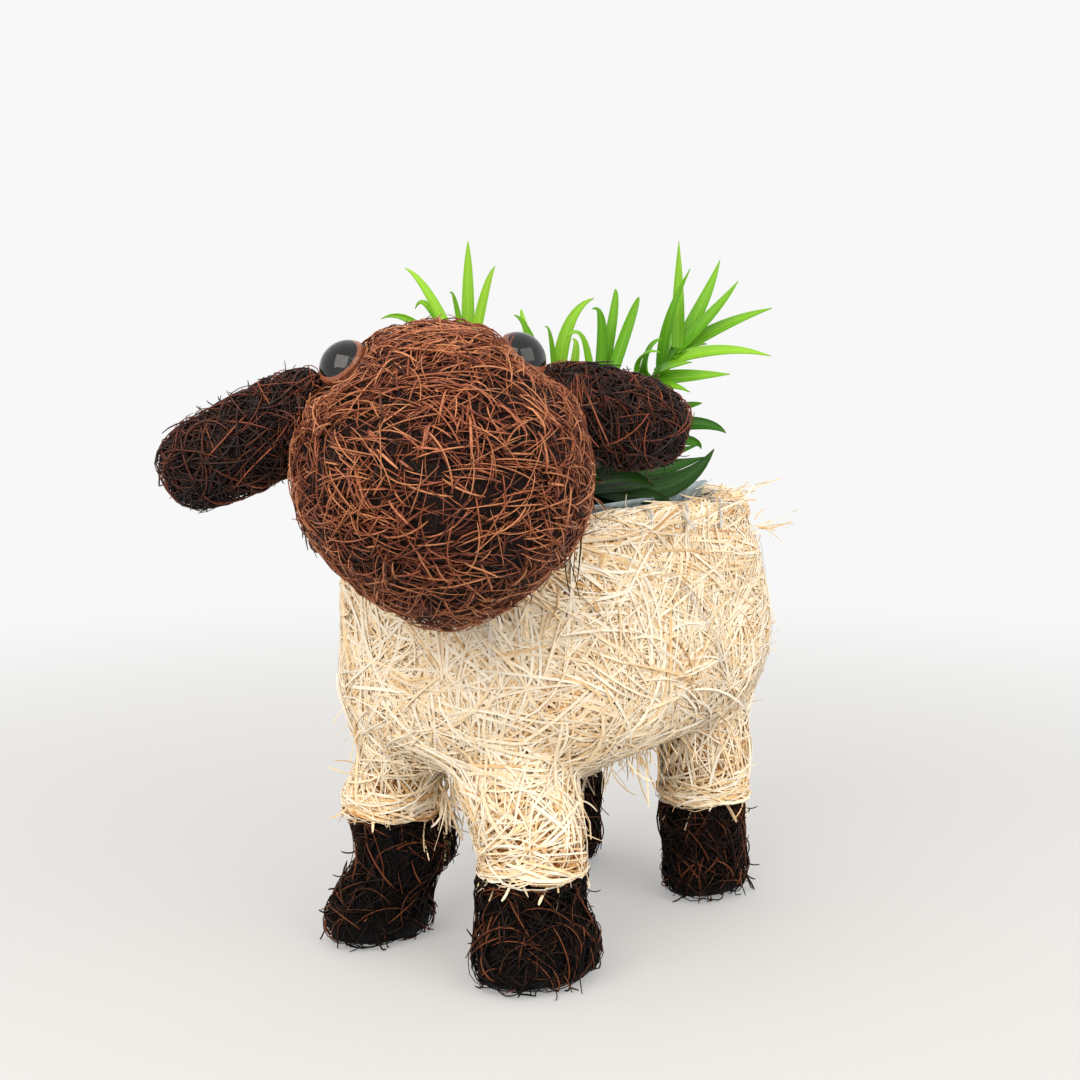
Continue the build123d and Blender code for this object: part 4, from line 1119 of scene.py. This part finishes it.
# %% Rings from the floor to the edge
rings = []
FOOT = 8.0 * MM
NECK_HOLD = 16.0 * MM  # half the width over which the neck wire holds the film in
FLARE_FROM = 203.5 * MM  # the height where the film starts to lean out
FOLDS, FOLDS_UP, WRINKLES = 110, 38, 260  # creases to a metre: long folds round and up, small wrinkles
CREASE_HEIGHT, LEAN_OUT, HOLD_IN = 2.0 * MM, 4.2 * MM, 0.6 * MM
EDGE_WAVES, EDGE_WAVE, EDGE_LIFT = 42, 2.6 * MM, 1.0 * MM  # waves to a metre, their height, the edge's rise
for inset in np.array((34, 22, 14)) * MM:
    rings.append((inset, LINER_FLOOR))
for a in np.linspace(0, math.pi / 2, 5):
    rings.append((FOOT * (1 - math.sin(a)), LINER_FLOOR + FOOT * (1 - math.cos(a))))
pressed_wall = np.linspace(LINER_FLOOR + FOOT, MIX_TOP, 5)[1:]
free_wall = np.linspace(MIX_TOP, FILM_TOP, 19)[1:]
for z in np.concatenate([pressed_wall, free_wall]):
    rings.append((0.0, z))
points = []
for inset, z in rings:
    ring = tub_ring(inset)
    free = min(max((z - MIX_TOP) / (FILM_TOP - MIX_TOP), 0.0), 1.0)
    flare = max((z - FLARE_FROM) / (FILM_TOP - FLARE_FROM), 0.0)
    away = unit(ring - tub_ring(inset + 6 * MM))
    for (x, y), (ax, ay) in zip(ring, away):
        crease = noise.noise(Vector((x * FOLDS, y * FOLDS, z * FOLDS_UP)))
        crease += 0.6 * noise.noise(Vector((x, y, z * 0.7)) * WRINKLES)
        shift = CREASE_HEIGHT * free * crease + LEAN_OUT * flare ** 1.5
        held = math.exp(-(x / NECK_HOLD) ** 2) if y < 0 else 0.0
        shift = shift * (1 - held) - HOLD_IN * held * free
        lift = (EDGE_WAVE * noise.noise(Vector((x, y, 0.3)) * EDGE_WAVES) + EDGE_LIFT) * flare
        points.append((x + ax * shift, y + ay * shift, z + lift))
faces = [[i * RING + j, i * RING + (j + 1) % RING, (i + 1) * RING + (j + 1) % RING, (i + 1) * RING + j]
         for i in range(len(rings) - 1) for j in range(RING)]
points.append((0.0, POCKET_MIDDLE, LINER_FLOOR))
faces += [[len(points) - 1, (j + 1) % RING, j] for j in range(RING)]
mesh = bpy.data.meshes.new("film_liner")
mesh.from_pydata(points, [], faces)
liner = linked("film_liner", mesh)
applied(liner, "SOLIDIFY", thickness=FILM_THICK, offset=0.0)

# %% Film finish
# polythene film, blown thin: blue grey, lighter on the crests of the creases and darker in their
# hollows, which is painted light and shade, with a soft shine that breaks up on the creases
film, tree, shader = new_material("polythene_film")
place = node(tree, "ShaderNodeTexCoord")
CREASE_MM = 9.0  # from one soft crease of the film to the next
crease = node(tree, "ShaderNodeTexNoise", {
    "Vector": place.outputs["Object"], "Scale": 1 / (CREASE_MM * MM), "Detail": 3.0})
# the colour follows the bump's crease noise: painted shade in the hollows, painted light on the crests
ramp = node(tree, "ShaderNodeValToRGB", {"Fac": crease.outputs["Fac"]},
            ((0.3, "#8698A0"), (0.55, "#A5B6BC"), (0.75, "#C3D0D4")))
tree.links.new(ramp.outputs["Color"], shader.inputs["Base Color"])
relief = node(tree, "ShaderNodeBump", {
    "Height": crease.outputs["Fac"], "Strength": 0.35, "Distance": 1.5 * MM})
tree.links.new(relief.outputs["Normal"], shader.inputs["Normal"])
shader.inputs["Roughness"].default_value = 0.22
finished(shaded(liner), "sheep", film, "film", "liner")

# %% [markdown]
# ## Planting mix
# The block that carries the stems is a crumbly mix of peat and bark. Its CAD solid is remeshed and
# roughened, and loose crumbs lie on top. One crumb is a small ball of twenty faces, copied, stretched
# and dented by random numbers.

# %% Rough block
mix_block = form_of("planting_mix_block", 2.6 * MM, 1, 0.5 * MM, "planting_block")
# peat and bark, damp and pressed: dark crumbs with paler bark and nearly no shine
soil, tree, shader = new_material("peat_and_bark_mix")
place = node(tree, "ShaderNodeTexCoord")
GRIT_MM, PATCH_MM = 1.3, 9.0
grit = node(tree, "ShaderNodeTexNoise", {
    "Vector": place.outputs["Object"], "Scale": 1 / (GRIT_MM * MM), "Detail": 4.0})
patch = node(tree, "ShaderNodeTexNoise", {"Vector": place.outputs["Object"], "Scale": 1 / (PATCH_MM * MM)})
both = node(tree, "ShaderNodeMath", {0: grit.outputs["Fac"], 1: patch.outputs["Fac"]}, operation="ADD")
half_sum = node(tree, "ShaderNodeMapRange", {
    "Value": both.outputs["Value"], "From Min": 0.7, "From Max": 1.35})
ramp = node(tree, "ShaderNodeValToRGB", {"Fac": half_sum.outputs["Result"]},
            ((0.0, "#120B07"), (0.45, "#33221A"), (0.8, "#5B4434"), (1.0, "#85694F")))
tree.links.new(ramp.outputs["Color"], shader.inputs["Base Color"])
relief = node(tree, "ShaderNodeBump", {
    "Height": grit.outputs["Fac"], "Strength": 0.9, "Distance": 1.2 * MM})
tree.links.new(relief.outputs["Normal"], shader.inputs["Normal"])
shader.inputs["Roughness"].default_value = 0.95
shader.inputs["Specular IOR Level"].default_value = 0.15
finished(shaded(mix_block), "plant", soil, "planting_mix", "planting_block")

# %% Crumbs
CRUMBS, CRUMB_SIZE, CRUMB_STRETCH, CRUMB_DENT = 520, (0.7, 2.4), (0.6, 1.2), 0.16
CRUMB_X, CRUMB_Y, CRUMB_Z = (-40, 40), (-64, 80), 166.2  # where they lie on the block, in mm
rng = np.random.default_rng(101)
bpy.ops.object.select_all(action="DESELECT")
bpy.ops.mesh.primitive_ico_sphere_add(subdivisions=1, radius=1.0)
crumb = bpy.context.object
ball = points_of(crumb)
ball_faces = np.array([list(face.vertices) for face in crumb.data.polygons])
bpy.ops.object.delete()
spots = np.stack([
    rng.uniform(*CRUMB_X, CRUMBS), rng.uniform(*CRUMB_Y, CRUMBS), np.full(CRUMBS, CRUMB_Z)], -1) * MM
sizes = rng.uniform(*CRUMB_SIZE, (CRUMBS, 1, 1)) * rng.uniform(*CRUMB_STRETCH, (CRUMBS, 1, 3)) * MM
dents = 1 + rng.normal(0, CRUMB_DENT, (CRUMBS, len(ball), 1))
bodies = ball[None] * dents * sizes + spots[:, None, :]
mesh = bpy.data.meshes.new("mix_crumbs")
mesh.from_pydata(bodies.reshape(-1, 3).tolist(), [],
                 (ball_faces[None] + np.arange(CRUMBS)[:, None, None] * len(ball)).reshape(-1, 3).tolist())
crumbs = linked("mix_crumbs", mesh)
finished(shaded(crumbs, 40), "plant", soil, "planting_mix")

# %% [markdown]
# ## Sprigs
# The sprigs are strap-leaved shoots: a round stem and a crown of pointed, channelled leaves. Each leaf
# starts as a flat grid. Its middle line runs from the stem through the place that the photograph shows
# halfway to its tip, its width follows a lance shape, and its cross-section is a shallow trough.

# %% Leaf finish
# waxy leaf: fine veins along it, a pale midrib, a paler tip and a soft shine; a tone per leaf sets its
# green, darkest for the leaves that lie in shade under the crown, which is painted shade
leaf_green, tree, shader = new_material("waxy_leaf")
tone = node(tree, "ShaderNodeAttribute", attribute_name="tone")
over = node(tree, "ShaderNodeUVMap", uv_map="blade")
VEINS_ACROSS, VEINS_ALONG = 15.0, 1.2
drawn = node(tree, "ShaderNodeMapping", {
    "Vector": over.outputs["UV"], "Scale": (VEINS_ACROSS, VEINS_ALONG, 1.0)})
vein = node(tree, "ShaderNodeTexNoise", {"Vector": drawn.outputs["Vector"], "Scale": 1.0, "Detail": 2.0})
split = node(tree, "ShaderNodeSeparateXYZ", {"Vector": over.outputs["UV"]})
rib = node(tree, "ShaderNodeMapRange", {
    "Value": split.outputs["X"], "From Min": 0.42, "From Max": 0.5, "To Min": 0.0, "To Max": 0.08})
far_rib = node(tree, "ShaderNodeMapRange", {
    "Value": split.outputs["X"], "From Min": 0.5, "From Max": 0.58, "To Min": 0.0, "To Max": -0.08})
# the leaf's colour gets lighter towards its tip
paler_to_tip = node(tree, "ShaderNodeMapRange", {"Value": split.outputs["Y"], "To Min": -0.07, "To Max": 0.07})
shift = node(tree, "ShaderNodeMapRange", {
    "Value": vein.outputs["Fac"], "From Min": 0.3, "From Max": 0.7, "To Min": -0.08, "To Max": 0.08})
total = tone.outputs["Fac"]
for part in (rib, far_rib, paler_to_tip, shift):
    added = node(tree, "ShaderNodeMath", {0: total, 1: part.outputs["Result"]}, operation="ADD")
    total = added.outputs["Value"]
# the darkest greens serve the leaves that lie in shade: painted shade
ramp = node(tree, "ShaderNodeValToRGB", {"Fac": total}, (
    (0.0, "#0B1B03"), (0.3, "#2A5E0E"), (0.55, "#5A9A18"), (0.8, "#8CC030"), (1.0, "#B9DA58")))
tree.links.new(ramp.outputs["Color"], shader.inputs["Base Color"])
relief = node(tree, "ShaderNodeBump", {
    "Height": vein.outputs["Fac"], "Strength": 0.25, "Distance": 0.4 * MM})
tree.links.new(relief.outputs["Normal"], shader.inputs["Normal"])
shader.inputs["Roughness"].default_value = 0.45
shader.inputs["Specular IOR Level"].default_value = 0.22

print("veins across a leaf:", VEINS_ACROSS)

# %% Where the leaves are
LEAF_ROWS, LEAF_COLUMNS, LEAF_THICK = 14, 6, 0.5 * MM
LEAF_TROUGH = 0.35  # how far a leaf's edges stand up, as a share of half its width
STEM_POINTS = 16
STEM_RADIUS = 2.4 * MM
# the leaves turn their faces up and to the light at the front
LEAF_FACE = np.array((0.8 * view_back.x, 0.8 * view_back.y, 0.5))
PHOTO_SIZE = 1080
# sprig: foot, knee and head of the stem in mm, then its leaves: place on the stem, pixels of the
# photograph halfway and at the tip, how far the tip is behind the stem's head in mm, width in mm, tone;
# the tone is low for leaves that lie in shade low in the crown and high for leaves in the light at the
# top: painted shade and light
SPRIGS = {
    "left_sprig": (((-27, -14, 164), (-27, -14, 216), (-33, -16, 266)), (
        (1.00, (468, 290), (468, 241), -6, 6.0, 0.74), (0.97, (483, 303), (495, 266), -12, 5.6, 0.78),
        (0.95, (433, 302), (405, 268), 12, 5.6, 0.76), (0.93, (457, 312), (450, 293), -16, 3.6, 0.62),
        (0.90, (434, 314), (415, 309), 16, 4.6, 0.66), (0.85, (422, 330), (381, 319), -10, 4.8, 0.60),
        (0.88, (455, 345), (445, 328), 52, 5.5, 0.70), (0.82, (478, 352), (482, 338), 50, 5.5, 0.66),
        (0.80, (464, 348), (464, 332), 56, 5.5, 0.72))),
    "middle_sprig": (((-14, 32, 164), (-14, 32, 204), (-17, 35, 242)), (
        (1.00, (566, 335), (594, 298), -6, 7.6, 0.72), (0.95, (533, 344), (514, 315), -12, 4.6, 0.58),
        (0.92, (528, 338), (522, 310), 8, 4.2, 0.74), (0.90, (552, 350), (545, 327), -16, 3.6, 0.60),
        (0.94, (575, 360), (572, 339), 10, 4.8, 0.80), (0.85, (560, 385), (560, 364), 50, 5.5, 0.64),
        (0.80, (576, 388), (585, 366), 52, 5.5, 0.62))),
    "inner_sprig": (((10, 22, 164), (10, 22, 204), (12, 25, 240)), (
        (1.00, (612, 325), (615, 289), -2, 5.4, 0.58), (0.95, (602, 335), (592, 309), -12, 5.4, 0.50),
        (0.98, (626, 333), (639, 297), -6, 6.0, 0.58), (0.85, (586, 350), (566, 338), -16, 5.0, 0.66),
        (0.80, (608, 372), (612, 350), 46, 5.5, 0.60), (0.75, (600, 378), (600, 358), 50, 5.5, 0.56))),
    "right_sprig": (((20, 62, 164), (2, 48, 238), (31, 70, 277)), (
        (1.00, (678, 296), (679, 241), -2, 6.2, 0.68), (0.88, (671, 318), (690, 269), -14, 6.8, 0.54),
        (1.00, (702, 304), (720, 260), 10, 6.8, 0.62), (0.98, (713, 313), (738, 281), 2, 6.8, 0.60),
        (0.95, (722, 327), (772, 308), 10, 7.4, 0.62), (0.92, (721, 351), (771, 356), -6, 7.0, 0.74),
        (0.82, (694, 377), (730, 374), -18, 8.4, 0.62), (0.84, (668, 367), (692, 362), -22, 6.4, 0.62),
        (0.95, (690, 346), (707, 344), 22, 4.6, 0.60), (0.74, (666, 386), (690, 392), -18, 6.0, 0.60),
        (0.76, (648, 356), (662, 338), -24, 7.6, 0.54), (0.70, (640, 362), (660, 352), -28, 7.0, 0.58),
        (0.62, (682, 408), (702, 403), -6, 6.4, 0.36), (0.55, (694, 424), (726, 433), -4, 8.0, 0.26),
        (0.50, (684, 440), (701, 449), 4, 6.0, 0.36), (0.95, (672, 335), (668, 318), 55, 7.0, 0.64),
        (0.85, (684, 345), (692, 328), 60, 7.0, 0.60), (0.70, (655, 392), (648, 372), 52, 6.5, 0.46))),
    "low_sprig": (((27, -2, 164), (27, -2, 196), (27, -1, 222)), (
        (0.90, (664, 488), (714, 449), 6, 15.0, 0.10), (0.75, (640, 496), (672, 503), 0, 10.0, 0.06),
        (1.00, (650, 470), (704, 457), 16, 12.0, 0.14), (0.95, (648, 462), (699, 444), 34, 9.0, 0.24),
        (0.85, (624, 480), (655, 486), -12, 14.0, 0.04), (0.80, (640, 482), (690, 476), 24, 11.0, 0.10))),
}

# %% Shape of a leaf and of a stem
def photo_place(pixel, depth):
    """The point that a pixel of the photograph shows, at a depth in front of the camera."""
    width = 2 * math.tan(camera.data.angle / 2)
    right, rise = (pixel[0] / PHOTO_SIZE - 0.5) * width, (0.5 - pixel[1] / PHOTO_SIZE) * width
    ray = view_right * right + view_back.cross(view_right) * rise - view_back
    return np.array(CAMERA_AT + ray * depth)


LEAF_SHARE = np.linspace(0, 1, LEAF_ROWS + 1)
LEAF_PROFILE = (1 - LEAF_SHARE) ** 0.95 * (LEAF_SHARE + 0.15) ** 0.5
LEAF_PROFILE = np.maximum(LEAF_PROFILE / LEAF_PROFILE.max(), 0.02)


def curve_through(a, b, c, share):
    """Points of a curve that leaves a towards b and ends at c."""
    share = share[:, None]
    return (1 - share) ** 2 * a + 2 * share * (1 - share) * b + share ** 2 * c


def leaf_blade(name, root, via, tip, width, tone, twist):
    """One leaf: a grid bent along its middle line, narrowed to a lance and troughed."""
    bpy.ops.object.select_all(action="DESELECT")
    bpy.ops.mesh.primitive_grid_add(x_subdivisions=LEAF_COLUMNS, y_subdivisions=LEAF_ROWS, size=2)
    blade = bpy.context.object
    blade.name = name
    flat = points_of(blade)
    layer = blade.data.uv_layers[0] if blade.data.uv_layers else blade.data.uv_layers.new()
    layer.name = "blade"
    column = flat[:, 0]
    row = np.rint((flat[:, 1] + 1) / 2 * LEAF_ROWS).astype(int)
    middle = curve_through(root, 2 * via - (root + tip) / 2, tip, LEAF_SHARE)
    along = unit(np.gradient(middle, axis=0))
    out = unit((tip - root) * np.array((1, 1, 0)) + 1e-6)
    above = LEAF_FACE - 0.35 * out
    above = unit(above - along * (along @ above)[:, None])
    side = np.cross(along, above)
    angle = (twist * LEAF_SHARE)[:, None]
    side, above = side * np.cos(angle) + above * np.sin(angle), above * np.cos(angle) - side * np.sin(angle)
    half = (LEAF_PROFILE * width * MM / 2)[row][:, None]
    trough = (column ** 2)[:, None] * half * LEAF_TROUGH
    shape = middle[row] + side[row] * column[:, None] * half + above[row] * trough
    set_points(blade, shape)
    shade = blade.data.attributes.new("tone", "FLOAT", "POINT")
    shade.data.foreach_set("value", np.full(len(flat), tone, np.float32))
    return applied(blade, "SOLIDIFY", thickness=LEAF_THICK, offset=0.0)


def stem_tube(name, points):
    """A round stem along a line of points, a little thinner at its head."""
    count = len(points)
    line = np.array(points)[None]
    across = np.repeat(np.array((1.0, 0.0, 0.0))[None, None], count, axis=1)
    width = np.array((2 * STEM_RADIUS,))
    zero = np.zeros(1)
    return strand_mesh(name, line, across, width, width, zero, zero, np.array((0.5,)), 12)

# %% Build the sprigs
rng = np.random.default_rng(111)
for name, (stem, leaves) in SPRIGS.items():
    foot, knee, head = (np.array(point) * MM for point in stem)
    line = curve_through(foot, knee, head, np.linspace(0, 1, STEM_POINTS))
    pieces = [stem_tube(name + "_stem", line)]
    depth = float((CAMERA_AT - Vector(head)).dot(view_back))
    for i, (place, half_way_pixel, tip_pixel, behind, width, tone) in enumerate(leaves):
        up_stem = place * (STEM_POINTS - 1)
        root = np.array([np.interp(up_stem, np.arange(STEM_POINTS), line[:, k]) for k in range(3)])
        via = photo_place(half_way_pixel, depth + 0.6 * behind * MM)
        tip = photo_place(tip_pixel, depth + behind * MM)
        pieces.append(leaf_blade(f"{name}_leaf_{i}", root, via, tip, width, tone, rng.normal(0, 0.3)))
    sprig = joined(pieces)
    sprig.name = sprig.data.name = name + "_leaves"
    finished(shaded(sprig, 50), "plant", leaf_green, "leaf_green", name)

# %% [markdown]
# ## Wire, ties and washers
# The frame is welded from galvanised wire and stays inside the fibre. The bright ties hold the rim, and
# their twisted tails lie slanted on its outside. The washers that clamp the eyes are moulded nylon.

# %% Wire and washer finishes
# galvanised wire shows dull grey zinc crystals, the drawn tie wire is smoother and brighter
METALS = {"galvanised_wire": ("#8D9193", "#C3C7C9", 0.42), "bright_tie_wire": ("#B4B7B9", "#E6E8E9", 0.26)}
SPANGLE_MM, FLOW_MM = 2.5, 3.0  # width of a crystal in the zinc, and of a cloud in the nylon
metal = {}
for name, (dark, light, roughness) in METALS.items():
    metal[name], tree, shader = new_material(name)
    place = node(tree, "ShaderNodeTexCoord")
    spangle = node(tree, "ShaderNodeTexVoronoi", {
        "Vector": place.outputs["Object"], "Scale": 1 / (SPANGLE_MM * MM)})
    ramp = node(tree, "ShaderNodeValToRGB", {"Fac": spangle.outputs["Distance"]},
                ((0.0, dark), (0.7, light)))
    tree.links.new(ramp.outputs["Color"], shader.inputs["Base Color"])
    dull = node(tree, "ShaderNodeMapRange", {
        "Value": spangle.outputs["Distance"], "To Min": roughness - 0.08, "To Max": roughness + 0.1})
    tree.links.new(dull.outputs["Result"], shader.inputs["Roughness"])
    shader.inputs["Metallic"].default_value = 1.0
# moulded nylon: a cloudy off-white, half dull
nylon, tree, shader = new_material("moulded_nylon")
place = node(tree, "ShaderNodeTexCoord")
flow = node(tree, "ShaderNodeTexNoise", {"Vector": place.outputs["Object"], "Scale": 1 / (FLOW_MM * MM)})
ramp = node(tree, "ShaderNodeValToRGB", {"Fac": flow.outputs["Fac"]}, ((0.3, "#D9D6CE"), (0.7, "#EFEDE6")))
tree.links.new(ramp.outputs["Color"], shader.inputs["Base Color"])
shader.inputs["Roughness"].default_value = 0.45

print("metals:", sorted(metal))

# %% Dress the CAD wires, ties and washers
for name, ob in nodes.items():
    if name.endswith(("_wire", "_rib", "_bow", "_hoop")):
        ob.material_slots[0].material = metal["galvanised_wire"]
    elif name == "rim_ties":
        ob.material_slots[0].material = metal["bright_tie_wire"]
    elif name.endswith("_washer"):
        ob.material_slots[0].material = nylon

# %% Twisted tie tails
TIE_X, TIE_Z = 66.0 * MM, 206.0 * MM
TIE_ROWS = {1: (-16, 14, 44), -1: (-28, 2, 32)}
TAIL_LENGTH, TAIL_PITCH, TAIL_WIRE = 17.0 * MM, 3.4 * MM, 0.75 * MM
TAIL_POINTS = 34
tail_lines = []
for sign, rows in TIE_ROWS.items():
    for i, y in enumerate(rows):
        foot = np.array((sign * TIE_X, y * MM, TIE_Z))
        way = unit(np.array((sign * (0.55 - 0.1 * i), -0.75 + 0.6 * i, -0.5 + 0.2 * i)))
        side = unit(np.cross(way, (0, 0, 1)))
        other = np.cross(way, side)
        share = np.linspace(0, 1, TAIL_POINTS)[:, None]
        for half_turn in (0, math.pi):
            angle = share * TAIL_LENGTH / TAIL_PITCH * 2 * math.pi + half_turn
            coil = (side * np.cos(angle) + other * np.sin(angle)) * TAIL_WIRE * 0.55
            tail_lines.append(foot + way * share * TAIL_LENGTH + coil)
tail_lines = np.array(tail_lines)
many = np.full(len(tail_lines), TAIL_WIRE)
none = np.zeros(len(tail_lines))
tail_up = np.repeat(np.array((0.1, 0.2, 1.0))[None, None], tail_lines.shape[0], axis=0)
tail_up = np.repeat(tail_up, TAIL_POINTS, axis=1)
tails = strand_mesh("tie_tails", tail_lines, tail_up, many, many, none, none, none + 0.5, 6)
finished(tails, "sheep", metal["bright_tie_wire"], "tie_wire")

# %% [markdown]
# ## Size
# The size of the visual model's box is printed in millimetres. The visual model has to stay in the
# CAD model's box, apart from a little fluff.

# %% Print the visual box
low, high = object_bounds()
print("visual box in mm:", [round(s / MM) for s in high - low])
